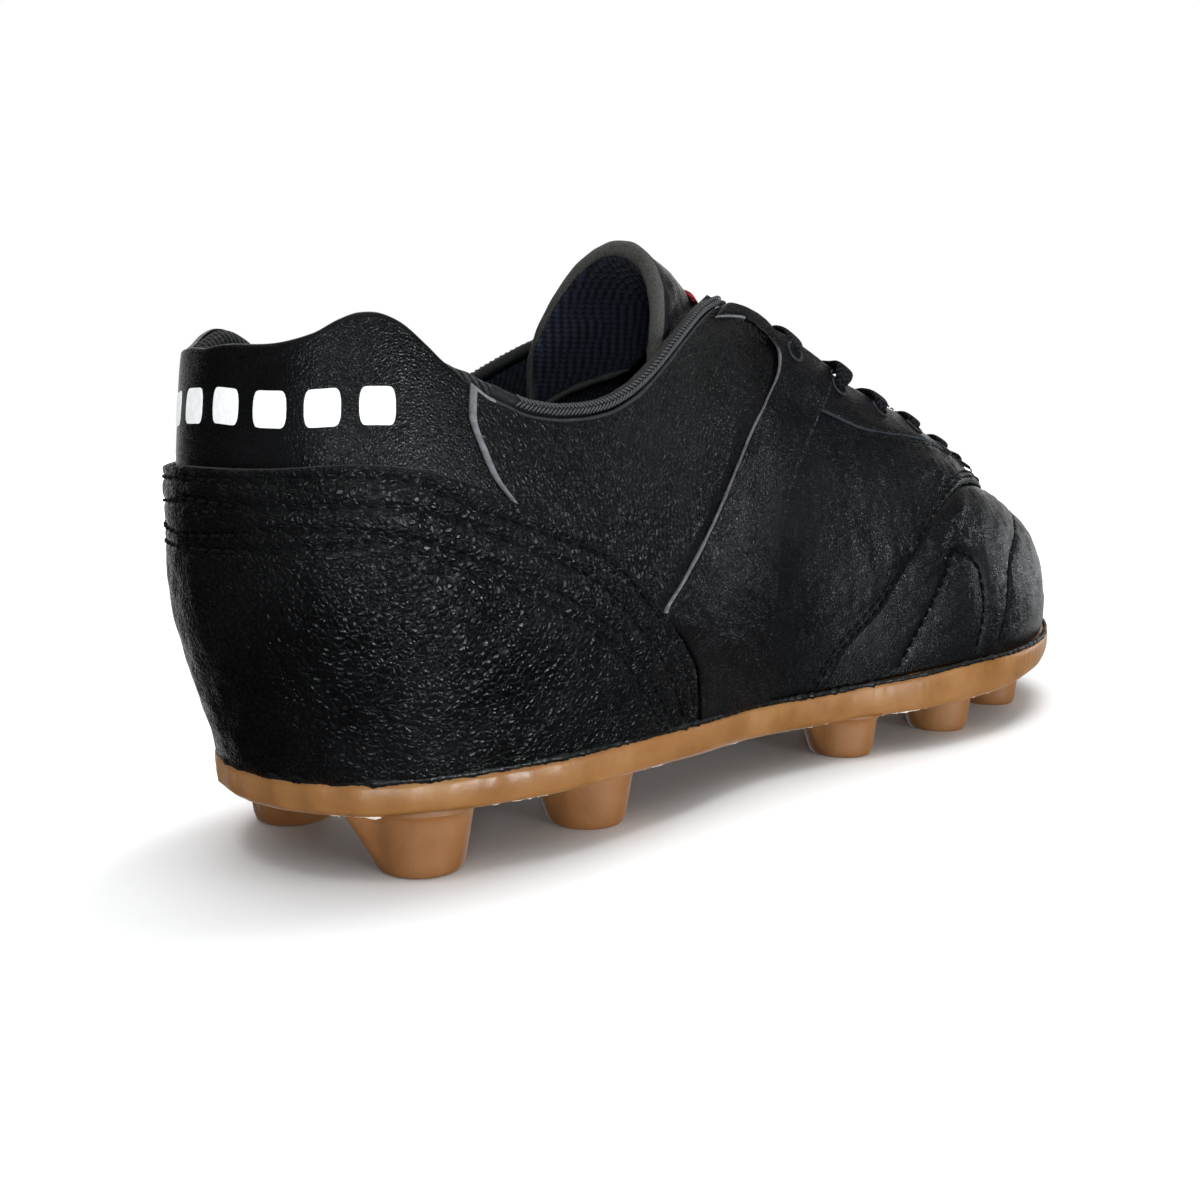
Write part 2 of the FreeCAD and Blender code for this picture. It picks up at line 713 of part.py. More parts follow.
def lin_region(a, b):
    s = -1.0 + 2 * a
    w = abs(s)
    sg = 1 if s >= 0 else -1
    u = w * 4.0
    return (sg * u, .004 + (vcol(u) - .012 - .004) * b)


panel("collar_lining", lin_region, heel_lining_out, lambda u, v: heel_lining_out(u, v) - .9, n=29, m=12)


def foam_region(a, b):
    s = -1.0 + 2 * a
    w = abs(s)
    sg = 1 if s >= 0 else -1
    u = w * 2.9
    lo = .575
    return (sg * u, lo + (vcol(u) - .03 - lo) * b)


panel("collar_foam", foam_region, -GAP - .95 - GAP - .06,
      lambda u, v: min(HS - pad_h(u, v) * .86 + .14, -GAP - .95 - GAP - .25), n=29, m=9)

for side, sfx in ((-1, "medial"), (1, "lateral")):
    def M(c):
        return edge(side, c)
    panel("quarter_lining_" + sfx,
          coons(M([(4.08, .004), (5.0, .004), (5.98, .004)]),
                M([(4.08, .862), (4.4, .873), (4.75, .877), (5.41, .866), (5.75, .856), (6.0, -14.5)]),
                M([(4.08, .004), (4.08, .3), (4.08, .6), (4.08, .862)]),
                M([(5.98, .004), (5.98, .3), (5.98, .6), (6.0, -14.5)])),
          -.46, -1.25, n=16, m=14)


def vl_out(u, v):
    um = min(u % NU, NU - (u % NU))
    return -1.66 - 1.2 * step(um, 10.2, 11.3)


def vl_half(side):
    def f(a, b):
        um = 6.06 + 7.86 * a
        u = um if side < 0 else NU - um
        w = pch([6.0, 6.6, 8.0, 9.2, 9.75, 14.0], [16.6, 13.0, 11.0, 8.6, 6.5, 9.5], um)
        top = dist_v(u, w)
        return (u, .004 + (top - .004) * b)
    return f


for side, sfx in ((-1, "medial"), (1, "lateral")):
    panel("vamp_lining_" + sfx, vl_half(side), vl_out, lambda u, v: vl_out(u, v) - .75, n=31, m=17)


def puff_region(a, b):
    u = 10.9 + (NU - 21.8) * a
    um = min(u, NU - u)
    return (u, .004 + (.30 + .34 * step(um, 10.9, 12.6)) * b)


panel("toe_puff", puff_region, -1.80, -2.40, n=31, m=9)

# ---------------------------------------------------------------- topline binding
def tube(label, pts, radius, k=9):
    """bead of round section along a smooth line of points, closed with flat ends"""
    n = len(pts)
    grid = []
    for i, p in enumerate(pts):
        a = pts[max(i - 1, 0)]
        b = pts[min(i + 1, n - 1)]
        t = (b - a)
        t.normalize()
        w = V(0, 0, 1)
        s1 = t.cross(w)
        s1.normalize()
        s2 = s1.cross(t)
        grid.append([p + s1 * (radius * math.cos(2 * math.pi * j / k)) + s2 * (radius * math.sin(2 * math.pi * j / k))
                     for j in range(k)])
    wires = []
    for ring in grid:
        c = Part.BSplineCurve()
        c.interpolate(Points=ring, PeriodicFlag=True)
        wires.append(Part.Wire(c.toShape()))
    s = Part.makeLoft(wires, True, False)
    o = doc.addObject("Part::Feature", label)
    o.Shape = s
    return done(o, label)


def above_edge(u, dz):
    um = min(u % NU, NU - (u % NU))
    v = vcol(um)
    p = V(*surf(u, v))
    q = V(*surf(u, v - .03))
    d = p - q
    d.normalize()
    n = V(*normal(u, v))
    return p + d * dz - n * .5


BR = cell("binding_radius")
bead = [above_edge(-5.2 + 10.4 * i / 60.0, BR + .85) for i in range(61)]
tube("topline_binding", bead, BR)

# ---------------------------------------------------------------- tongue
TTOP = -3.3                              # top of the tongue under the linings
T_LEATHER = .95
T_FOAM = cell("tongue_foam")
T_LIN = .7


def tongue_w(um):
    return pch([5.9, 6.5, 8.0, 9.0, 9.5], [20.0, 19.5, 16.0, 12.0, 9.0], um)


TW = [-1.0, -.68, -.36, .36, .68, 1.0]    # columns across the tongue


def tongue_row(um, w, h):
    """points across the tongue under the section um, half width w, height h"""
    row = []
    for c in TW:
        d = w * c
        u = um if d < 0 else NU - um
        row.append(off(u, dist_v(u, max(abs(d), .02)), h))
    return row


def grid_normals(g):
    """outward normals of a point grid, by central differences, smoothed along both ways"""
    n, m = len(g), len(g[0])
    out = []
    for i in range(n):
        row = []
        for j in range(m):
            a = g[min(i + 1, n - 1)][j] - g[max(i - 1, 0)][j]
            b = g[i][min(j + 1, m - 1)] - g[i][max(j - 1, 0)]
            k = a.cross(b)
            k.normalize()
            row.append(k if k.z > 0 else k * -1.0)
        out.append(row)
    res = []
    for i in range(n):
        row = []
        for j in range(m):
            k = out[i][j] * 4.0
            k = k + out[max(i - 1, 0)][j] + out[min(i + 1, n - 1)][j]
            k = k + out[i][max(j - 1, 0)] + out[i][min(j + 1, m - 1)]
            k.normalize()
            row.append(k)
        res.append(row)
    return res


def lower_tongue(label, h1, h0, inset=0.0, n=10):
    base = []
    for i in range(n):
        um = 6.2 + 3.25 * i / (n - 1.0)
        base.append(tongue_row(um, tongue_w(um) - inset, TTOP))
    nr = grid_normals(base)
    rows_of = range(n)
    go = [[p + k * (h1 - TTOP) for p, k in zip(base[i], nr[i])] for i in rows_of]
    gi = [[p + k * (h0 - TTOP) for p, k in zip(base[i], nr[i])] for i in rows_of]
    o = doc.addObject("Part::Feature", label)
    o.Shape = skin_solid(go, gi)
    return done(o, label)


lower_tongue("tongue_leather", TTOP, TTOP - T_LEATHER)
lower_tongue("tongue_foam", TTOP - T_LEATHER - .35, TTOP - T_LEATHER - .35 - T_FOAM, 1.5)
lower_tongue("tongue_lining", TTOP - T_LEATHER - T_FOAM - 1.1, TTOP - T_LEATHER - T_FOAM - 1.1 - T_LIN, 3.5)

HINGE = V(117.0 * KX, -10.0, 104.6 * KZ)
FT = [0.0, .3, .5, .75, 1.0]
FLAP_W = [4.3, 8.6, 11.9, 16.6, 20.6]     # half width, fold to rear edge
FLAP_C = [-5.6, -5.4, -4.6, -3.2, -1.6]   # middle line
FLAP_D = [.8, 6.5, 11.5, 18.0, 26.0]      # drop of the side edges


def flap_mid(t, e):
    """outer face of the free flap: t 0 at the fold, 1 at the rear edge; e -1 medial, 1 lateral"""
    w, c, d = pch(FT, FLAP_W, t), pch(FT, FLAP_C, t), pch(FT, FLAP_D, t)
    a = e * math.radians(84)
    k = math.sin(math.radians(84))
    x = 111.6 + (93.0 - 111.6) * t - 8.0 * t * e * e
    y = c + w * math.sin(a) / k
    z = 107.9 + (121.4 - 107.9) * t + .8 * math.sin(math.pi * t) - d * (1 - math.cos(a)) / (1 - math.cos(math.radians(84)))
    return V(x * KX, y * KY, z * KZ)


def flap_off(t, e, h):
    p = flap_mid(t, e)
    if abs(h) < 1e-9:
        return p
    d = .02
    a = flap_mid(min(t + d, 1.0), e) - flap_mid(max(t - d, 0.0), e)
    b = flap_mid(t, min(e + d, 1.0)) - flap_mid(t, max(e - d, -1.0))
    n = b.cross(a)
    n.normalize()
    return p + n * h


def flap(label, h1, h0, inset=0.0, n=11, m=15):
    go, gi = [], []
    for i in range(n):
        t = i / (n - 1.0) * (1 - .05 * (inset > 0))
        ro, ri = [], []
        for j in range(m):
            e = (2.0 * j / (m - 1) - 1) * (1 - inset)
            ro.append(flap_off(t, e, h1))
            ri.append(flap_off(t, e, h0))
        go.append(ro)
        gi.append(ri)
    o = doc.addObject("Part::Feature", label)
    o.Shape = skin_solid(go, gi)
    return done(o, label)


flap("flap_leather", 0.0, -T_LEATHER)
flap("flap_foam", -T_LEATHER - .35, -T_LEATHER - .35 - T_FOAM + .6, .05)
flap("flap_lining", -T_LEATHER - T_FOAM + .6 - .16, -T_LEATHER - T_FOAM + .6 - .16 - T_LIN)
go = [[flap_off(.06 + .34 * i / 3.0, -.62 + .5 * j / 5.0, 1.05) for j in range(6)] for i in range(4)]
gi = [[flap_off(.06 + .34 * i / 3.0, -.62 + .5 * j / 5.0, .12) for j in range(6)] for i in range(4)]
o = doc.addObject("Part::Feature", "tongue_tab")
o.Shape = skin_solid(go, gi)
done(o, "tongue_tab")

# ---------------------------------------------------------------- lace
LD = cell("lace_dia")
EYE = [6.42, 6.98, 7.54, 8.10, 8.66, 9.2]
EYE_D = [17.6, 16.8, 15.6, 14.2, 12.9, 11.6]
LACE_H = H3 + .95 + LD / 2 + .15


def eye(i, side, h):
    u = EYE[i] if side < 0 else NU - EYE[i]
    return off(u, dist_v(u, EYE_D[i]), h)


def over(i, d, h):
    """point over the throat at section between rows, signed distance d from the ridge"""
    um = i
    u = um if d < 0 else NU - um
    return off(u, dist_v(u, max(abs(d), .02)), h)


def strand(i, j, sd, lift):
    """points from the eyelet of row i on side sd to row j on the other side"""
    pts = []
    di, dj = EYE_D[i], EYE_D[j]
    for k in range(10):
        f = k / 10.0
        d = sd * (di * (1 - f) - dj * f)
        if k == 0:
            d = sd * di
        um = EYE[i] * (1 - f) + EYE[j] * f
        pts.append(over(um, d, LACE_H + lift * math.sin(math.pi * f) ** 2 + .25 * math.sin(math.pi * f)))
    return pts


path = []
for i in range(5):
    path += strand(i, i + 1, -1 if i % 2 == 0 else 1, 0.0)
path += strand(5, 5, 1, 0.0)
for i in range(5, 0, -1):
    path += strand(i, i - 1, -1 if i % 2 == 1 else 1, LD + .2)
path.append(eye(0, 1, LACE_H))


def tube_along(label, pts, radius, k=8):
    """tube with facets along its length, ring planes carried along the path"""
    n = len(pts)
    tg = []
    for i in range(n):
        t = pts[min(i + 1, n - 1)] - pts[max(i - 1, 0)]
        t.normalize()
        tg.append(t)
    s1 = tg[0].cross(V(0, 0, 1))
    s1.normalize()
    wires = []
    for i, p in enumerate(pts):
        t = tg[i]
        s1 = s1 - t * s1.dot(t)
        s1.normalize()
        s2 = t.cross(s1)
        ring = [p + s1 * (radius * math.cos(2 * math.pi * j / k)) + s2 * (radius * math.sin(2 * math.pi * j / k))
                for j in range(k)]
        wires.append(Part.makePolygon(ring + [ring[0]]))
    s = Part.makeLoft(wires, True, True)
    o = doc.addObject("Part::Feature", label)
    o.Shape = s
    return done(o, label)


tube_along("lace", path, LD / 2)

# ---------------------------------------------------------------- write the pieces
doc.recompute()
os.makedirs("parts", exist_ok=True)
bad = []
for o in doc.Objects:
    if "Invalid" in o.State or "Error" in o.State:
        bad.append(o.Name + " " + str(o.State))
for o in NODES:
    s = o.Shape
    if s.isNull() or not s.isValid() or s.Volume <= 0 or len(s.Solids) != 1:
        bad.append("%s null=%s valid=%s vol=%s solids=%s" % (
            o.Label, s.isNull(), (not s.isNull()) and s.isValid(), s.isNull() or s.Volume,
            s.isNull() or len(s.Solids)))
if bad:
    raise SystemExit("not written: " + "; ".join(bad))
box = FreeCAD.BoundBox()
for o in NODES:
    o.Shape.exportStep("parts/%s.step" % o.Label)
    box.add(o.Shape.BoundBox)
print("pieces", len(NODES), "box", box)
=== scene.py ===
import bpy, bmesh, math
import numpy as np
from mathutils import Vector, Matrix


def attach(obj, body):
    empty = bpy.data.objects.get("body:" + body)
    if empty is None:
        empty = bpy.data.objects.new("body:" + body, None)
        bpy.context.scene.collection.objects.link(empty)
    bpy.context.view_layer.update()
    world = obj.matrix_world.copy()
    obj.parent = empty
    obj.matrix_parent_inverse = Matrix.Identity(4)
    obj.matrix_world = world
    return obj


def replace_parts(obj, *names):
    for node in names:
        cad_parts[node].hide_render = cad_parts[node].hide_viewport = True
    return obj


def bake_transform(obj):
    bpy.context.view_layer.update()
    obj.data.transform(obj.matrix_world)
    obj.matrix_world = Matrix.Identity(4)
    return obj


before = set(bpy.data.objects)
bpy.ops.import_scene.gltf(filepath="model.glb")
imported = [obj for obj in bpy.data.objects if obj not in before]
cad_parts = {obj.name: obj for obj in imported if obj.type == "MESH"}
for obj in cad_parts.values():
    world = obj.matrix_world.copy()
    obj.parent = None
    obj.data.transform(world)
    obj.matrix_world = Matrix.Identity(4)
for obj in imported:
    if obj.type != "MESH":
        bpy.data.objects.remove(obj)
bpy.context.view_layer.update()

OX, OY = 136.07, 3.03          # the row's origin in the working frame of the last, millimetres

# ============================================================ last shape (millimetres)
XS = [0, 4, 14, 32, 58, 88, 118, 148, 178, 206, 230, 250, 266, 277, 282]
XK = [0, .5, 1.5, 3, 12, 28, 50, 80, 110, 140, 170, 200, 225, 245, 260, 272, 278, 280.5, 281.5, 282]
MEDW = [0, 5.6, 9.7, 13.6, 25.5, 32.2, 35.7, 33.9, 29.9, 33, 41.4, 44.3, 41.3, 35.3, 28.6, 20.6, 13.2, 8.0, 4.6, 0]
LATW = [0, 5.4, 9.3, 13.1, 25, 31.5, 34, 36, 39, 43.5, 48, 49, 44.5, 37.5, 30.0, 20.8, 13.2, 8.0, 4.6, 0]
ZX = [0, 60, 130, 190, 240, 282]
ZT = [18.1, 19.1, 17.6, 20.6, 20.9, 22.0]
ZB = [11.8, 12.0, 9.7, 10.6, 13.0, 14.5]
XA = [34, 34.3, 36, 44, 62, 90, 118, 146, 172, 197, 214, 226, 234, 234, 234]
FR = [0, .16, .32, .49, .66, .83, 1.0]
RTZ = [101, 102, 106, 102, 92, 108]
RT = [[1, 1.12, 1.22, 1.26, 1.26, 1.23, 1.17],
      [1, 1.11, 1.20, 1.235, 1.23, 1.20, 1.14],
      [1, 1.07, 1.125, 1.14, 1.11, 1.05, .98],
      [1, 1.05, 1.08, 1.06, 1.01, .93, .86],
      [1, 1.04, 1.06, 1.04, .98, .90, .82],
      [1, 1.04, 1.05, 1.00, .89, .74, .58]]
FN = [2.0, 2.05, 2.1, 2.15, 2.2, 2.25, 2.3, 2.3, 2.3]
FB = [.05, .05, .05, .045, .04, .03, .03, .03, .03]
PH = [0, 13, 27, 42, 57, 73, 90]
NL, NS, NU = 7, 15, 28


def pch(xs, ys, x):
    """monotone cubic through a table, vectorised"""
    xs = np.asarray(xs, float); ys = np.asarray(ys, float)
    x = np.asarray(x, float); sh = x.shape; x = np.clip(x.ravel(), xs[0], xs[-1])
    h = np.diff(xs); d = np.diff(ys) / h
    m = np.zeros(len(xs)); m[0] = d[0]; m[-1] = d[-1]
    for i in range(1, len(xs) - 1):
        if d[i - 1] * d[i] > 0:
            w1 = 2 * h[i] + h[i - 1]; w2 = h[i] + 2 * h[i - 1]
            m[i] = (w1 + w2) / (w1 / d[i - 1] + w2 / d[i])
    k = np.clip(np.searchsorted(xs, x, side="right") - 1, 0, len(xs) - 2)
    t = (x - xs[k]) / h[k]
    r = ((2 * t**3 - 3 * t * t + 1) * ys[k] + (t**3 - 2 * t * t + t) * m[k] * h[k] +
         (3 * t * t - 2 * t**3) * ys[k + 1] + (t**3 - t * t) * m[k + 1] * h[k])
    return r.reshape(sh)


def plan(side, x): return pch(XK, MEDW if side < 0 else LATW, x)
def shift(x): return 2.7 * np.maximum(0.0, (np.asarray(x, float) - 140) / 142.0) ** 1.6
def zfeath(x): return pch(ZX, ZT, x)
def zbot(x): return pch(ZX, ZB, x)
def yaxis(x): return pch([34, 62, 90, 118, 146, 172, 197, 214, 226, 238], [0, -1, -5, -10, -13, -15, -16.5, -16.5, -15.5, -14], x)
def ridge(x): return pch([90, 118, 146, 172, 197, 214, 226, 234], [122, 111, 98.5, 86, 74.5, 67, 62.5, 59.5], x)


def rows(side):
    out = []
    for i, xb in enumerate(XS):
        by = side * float(plan(side, xb)) + float(shift(xb))
        ax = XA[i]; ay = float(yaxis(ax)); zf = float(zfeath(xb)); row = []
        for j in range(NL):
            if i < 6:
                r = RT[i][j]; z = zf + (RTZ[i] - zf) * FR[j]
            else:
                n = FN[i - 6]; ph = math.radians(PH[j])
                c = math.cos(ph) ** (2 / n) if j < 6 else 0.0
                r = c * (1 + FB[i - 6] * math.sin(2 * ph))
                z = zf + (float(ridge(ax)) - zf) * math.sin(ph) ** (2 / n)
            row.append((ax + (xb - ax) * r, ay + (by - ay) * r, z))
        out.append(row)
    return out


_m, _l = rows(-1), rows(1)
LOOP = np.array([_m[i] for i in range(NS)] + [_l[i] for i in range(NS - 2, 0, -1)])   # 28 x 7 x 3
_A = np.zeros((NU, NU)); _B = np.zeros((NU, NU))
for i in range(NU):
    _A[i, i] = 4; _A[i, (i - 1) % NU] = 1; _A[i, (i + 1) % NU] = 1
    _B[i, i] = -12; _B[i, (i - 1) % NU] = 6; _B[i, (i + 1) % NU] = 6
LOOPM = np.einsum("ab,bjk->ajk", np.linalg.solve(_A, _B), LOOP)


def natop(n):
    A = np.eye(n); B = np.zeros((n, n))
    for i in range(1, n - 1):
        A[i, i - 1:i + 2] = (1, 4, 1); B[i, i - 1:i + 2] = (6, -12, 6)
    return np.linalg.solve(A, B)


N7, N10 = natop(7), natop(10)


def levels(u):
    u = np.mod(u, NU); i = np.floor(u).astype(int) % NU; f = (u - np.floor(u))[:, None, None]; g = 1 - f
    k = (i + 1) % NU
    return g * LOOP[i] + f * LOOP[k] + ((g**3 - g) * LOOPM[i] + (f**3 - f) * LOOPM[k]) / 6.0


def evn(Y, op, t):
    M = np.einsum("ab,nbk->nak", op, Y); n = Y.shape[1]
    i = np.clip(np.floor(t).astype(int), 0, n - 2); f = (t - i)[:, None]; g = 1 - f
    a = np.arange(len(t))
    return g * Y[a, i] + f * Y[a, i + 1] + ((g**3 - g) * M[a, i] + (f**3 - f) * M[a, i + 1]) / 6.0


def sstep(x, a, b):
    t = np.clip((np.asarray(x, float) - a) / (b - a), 0, 1)
    return t * t * (3 - 2 * t)


def fold_u(u):
    um = np.mod(u, NU)
    return np.minimum(um, NU - um)


def surf(u, v):
    """outer last surface in millimetres, working frame"""
    u = np.asarray(u, float); v = np.asarray(v, float); sh = np.broadcast(u, v).shape
    u = np.broadcast_to(u, sh).ravel(); v = np.broadcast_to(v, sh).ravel()
    P = levels(u); t = v * (NL - 1)
    um = fold_u(u)
    o = evn(P, N7, t)
    w = sstep(um, 5.5, 6.3)
    if (w > 0).any():
        Q = levels(np.mod(-u, NU))[:, [5, 4, 3]]
        o2 = evn(np.concatenate([P, Q], 1), N10, t)
        o = o * (1 - w[:, None]) + o2 * w[:, None]
    return o.reshape(sh + (3,))


def unit(a):
    n = np.linalg.norm(a, axis=-1, keepdims=True)
    return a / np.where(n < 1e-12, 1, n)


def normal(u, v):
    u = np.asarray(u, float); v = np.asarray(v, float)
    vc = np.where(fold_u(u) > 11.0, np.minimum(v, .93), v)
    v0 = np.maximum(vc - .02, 0.0); v1 = np.minimum(vc + .02, 1.0)
    vm = np.minimum(vc, .985)
    a = surf(u + .04, vm) - surf(u - .04, vm)
    b = surf(u, v1) - surf(u, v0)
    return unit(np.cross(a, b))


def off(u, v, h):
    u, v = np.broadcast_arrays(np.asarray(u, float), np.asarray(v, float))
    return surf(u, v) + normal(u, v) * np.asarray(h, float)[..., None] * np.ones(u.shape)[..., None]


# distance along a section from the ridge, tabulated on fine stations of u
_TU = np.linspace(0, NU, 28 * 12 + 1); _TV = np.linspace(1.0, 0.2, 61)
_TP = surf(_TU[:, None], _TV[None, :])
_TD = np.concatenate([np.zeros((len(_TU), 1)), np.cumsum(np.linalg.norm(np.diff(_TP, axis=1), axis=2), 1)], 1)


def dist_v(u, d):
    """v at distance d (mm) below the top of the section"""
    u = np.mod(np.asarray(u, float), NU); d = np.asarray(d, float)
    u, d = np.broadcast_arrays(u, d); sh = u.shape; u = u.ravel(); d = d.ravel()
    x = u * 12; i = np.clip(np.floor(x).astype(int), 0, len(_TU) - 2); f = x - i
    out = np.empty(len(u))
    for n in range(len(u)):
        row = _TD[i[n]] * (1 - f[n]) + _TD[i[n] + 1] * f[n]
        out[n] = np.interp(d[n], row, _TV)
    return out.reshape(sh)


def v_dist(u, v):
    """distance (mm) of (u, v) below the top of the section"""
    u, v = np.broadcast_arrays(np.mod(np.asarray(u, float), NU), np.asarray(v, float)); x = u * 12; i = np.clip(np.floor(x).astype(int), 0, len(_TU) - 2); f = x - i
    y = np.clip((1.0 - v) / .8 * 60, 0, 59.999); k = np.floor(y).astype(int); g = y - k
    a = _TD[i, k] * (1 - g) + _TD[i, k + 1] * g; b = _TD[i + 1, k] * (1 - g) + _TD[i + 1, k + 1] * g
    return a * (1 - f) + b * f


COLLAR = [(0.0, .901), (0.33, .906), (0.87, .899), (1.20, .904), (1.46, .920), (1.62, .925), (1.76, .922), (2.0, .903),
          (2.30, .857), (2.45, .832), (2.69, .804), (2.9, .785), (3.15, .787), (3.45, .812), (3.75, .85),
          (4.0, .873), (4.3, .885), (4.75, .889), (5.41, .876), (5.88, .86), (6.1, .85)]


def vcol(u): return pch([c[0] for c in COLLAR], [c[1] for c in COLLAR], fold_u(u))


class Curve:
    def __init__(self, pts):
        p = np.array(pts, float); q = p * np.array([1.0, 5.0])
        s = np.concatenate([[0], np.cumsum(np.linalg.norm(np.diff(q, axis=0), axis=1))])
        self.s = s / s[-1]; self.p = p

    def __call__(self, t):
        return np.stack([pch(self.s, self.p[:, 0], t), pch(self.s, self.p[:, 1], t)], -1)


def edge(side, pts):
    out = []
    for u, v in pts:
        uu = u if side < 0 else NU - u
        out.append((uu, float(dist_v(uu, -v)) if v < 0 else v))
    return out


def coons(bot, top, left, right):
    B, T, L, R = [Curve(c) for c in (bot, top, left, right)]

    def f(a, b):
        a, b = a[:, None], b[None, :]
        Ba, Ta, Lb, Rb = B(a[:, 0]), T(a[:, 0]), L(b[0]), R(b[0])
        c00, c10, c01, c11 = Ba[0], Ba[-1], Ta[0], Ta[-1]
        a_, b_ = a[..., None], b[..., None]
        return ((1 - b_) * Ba[:, None] + b_ * Ta[:, None] + (1 - a_) * Lb[None] + a_ * Rb[None]
                - (1 - a_) * (1 - b_) * c00 - a_ * (1 - b_) * c10 - (1 - a_) * b_ * c01 - a_ * b_ * c11)
    return f

# ============================================================ mesh helpers
rng = np.random.default_rng(7)


def M(P):
    """working millimetres to the row's metres"""
    Q = np.array(P, float)
    Q[..., 0] -= OX; Q[..., 1] -= OY
    return Q * 0.001


def make(name, verts, faces, mats, fmat=None, smooth=True, uv=None):
    me = bpy.data.meshes.new(name)
    me.from_pydata([tuple(v) for v in verts.tolist()] if isinstance(verts, np.ndarray) else verts, [], faces)
    me.validate(verbose=False)
    for m in mats:
        me.materials.append(m)
    if fmat is not None and len(me.polygons) == len(fmat):
        me.polygons.foreach_set("material_index", np.asarray(fmat, dtype=np.int32))
    me.polygons.foreach_set("use_smooth", [smooth] * len(me.polygons))
    if uv is not None:
        lay = me.uv_layers.new(name="UVMap")
        li = np.zeros(len(me.loops), dtype=np.int32)
        me.loops.foreach_get("vertex_index", li)
        lay.data.foreach_set("uv", uv[li].astype(np.float32).ravel())
    me.update()
    ob = bpy.data.objects.new(name, me)
    bpy.context.scene.collection.objects.link(ob)
    return ob


def samples(n, length, edge_mm, rnd=True):
    """0..1 samples with extra ones close to both ends for a rounded edge"""
    e = edge_mm / max(length, 1e-6)
    if not rnd:
        return np.linspace(0, 1, n)
    inner = np.linspace(1.6 * e, 1 - 1.6 * e, n)
    return np.concatenate([[0, .25 * e, .7 * e], inner, [1 - .7 * e, 1 - .25 * e, 1]])


def prof(s, length, edge_mm):
    """thickness share near the rounded ends: 0.45 at the very edge, 1 inside"""
    d = np.minimum(s, 1 - s) * length / edge_mm
    return .45 + .55 * np.sqrt(np.clip(1 - (1 - np.clip(d, 0, 1)) ** 2, 0, 1))


def grid_shell(name, PO, PI, mats, cut=(1, 1, 1, 1), cut_slot=1, cut_rows=1, in_slot=None):
    """closed shell between outer and inner grids; sides use the cut-edge material"""
    n, m = PO.shape[:2]
    V0 = np.concatenate([PO.reshape(-1, 3), PI.reshape(-1, 3)])
    idx = np.arange(n * m).reshape(n, m)
    a = idx[:-1, :-1].ravel(); b = idx[1:, :-1].ravel(); c = idx[1:, 1:].ravel(); d = idx[:-1, 1:].ravel()
    fo = np.stack([a, b, c, d], 1); fi = np.stack([a, d, c, b], 1) + n * m
    I, J = np.meshgrid(np.arange(n - 1), np.arange(m - 1), indexing="ij")
    mo = np.zeros((n - 1, m - 1), int)
    if cut[0]: mo[:, :cut_rows] = cut_slot
    if cut[1]: mo[:, -cut_rows:] = cut_slot
    if cut[2]: mo[:cut_rows, :] = cut_slot
    if cut[3]: mo[-cut_rows:, :] = cut_slot
    mats_o = mo.ravel()
    mats_i = np.full(len(fi), in_slot if in_slot is not None else 0)
    sides, ms = [], []
    def side(line, flag, rev):
        p = line[:-1]; q = line[1:]
        f = np.stack([p, p + n * m, q + n * m, q], 1)
        if rev: f = f[:, ::-1]
        sides.append(f); ms.append(np.full(len(f), cut_slot if flag else 0))
    side(idx[:, 0], cut[0], False); side(idx[:, -1], cut[1], True)
    side(idx[0, :], cut[2], True); side(idx[-1, :], cut[3], False)
    F = np.concatenate([fo, fi] + sides); FM = np.concatenate([mats_o, mats_i] + ms)
    # outward orientation from the signed volume
    T = V0[F]
    vol = np.einsum("ij,ij->i", T[:, 0], np.cross(T[:, 1], T[:, 2])).sum() + np.einsum("ij,ij->i", T[:, 0], np.cross(T[:, 2], T[:, 3])).sum()
    if vol < 0: F = F[:, ::-1]
    return make(name, M(V0), F.tolist(), mats, FM)


def near(P, L, width):
    """weight exp(-(d/width)^2) of the distance from points P to sampled lines L"""
    sh = P.shape[:-1]; Q = P.reshape(-1, 3); out = np.zeros(len(Q))
    if len(L) == 0: return out.reshape(sh)
    L = np.asarray(L); lo, hi = L.min(0) - 4 * width, L.max(0) + 4 * width
    sel = np.where(((Q > lo) & (Q < hi)).all(1))[0]
    for k in range(0, len(sel), 4000):
        s = sel[k:k + 4000]
        d2 = ((Q[s][:, None] - L[None]) ** 2).sum(2).min(1)
        out[s] = np.exp(-d2 / width ** 2)
    return out.reshape(sh)


def line_uv(pts, n=220):
    c = Curve(pts)(np.linspace(0, 1, n))
    return c[:, 0], c[:, 1]


def noise3(P, scale, seed=0):
    """cheap smooth 3-D value field, sum of sines, deterministic"""
    r = np.random.default_rng(seed); o = np.zeros(P.shape[:-1])
    for k in range(9):
        w = r.normal(size=3); w /= np.linalg.norm(w); f = (0.5 + 1.3 * r.random()) / scale
        o += np.sin((P @ w) * 2 * np.pi * f + r.random() * 6.28)
    return o / 4.0


GROOVES = []     # (points, width, depth) lines pressed into every leather they cross


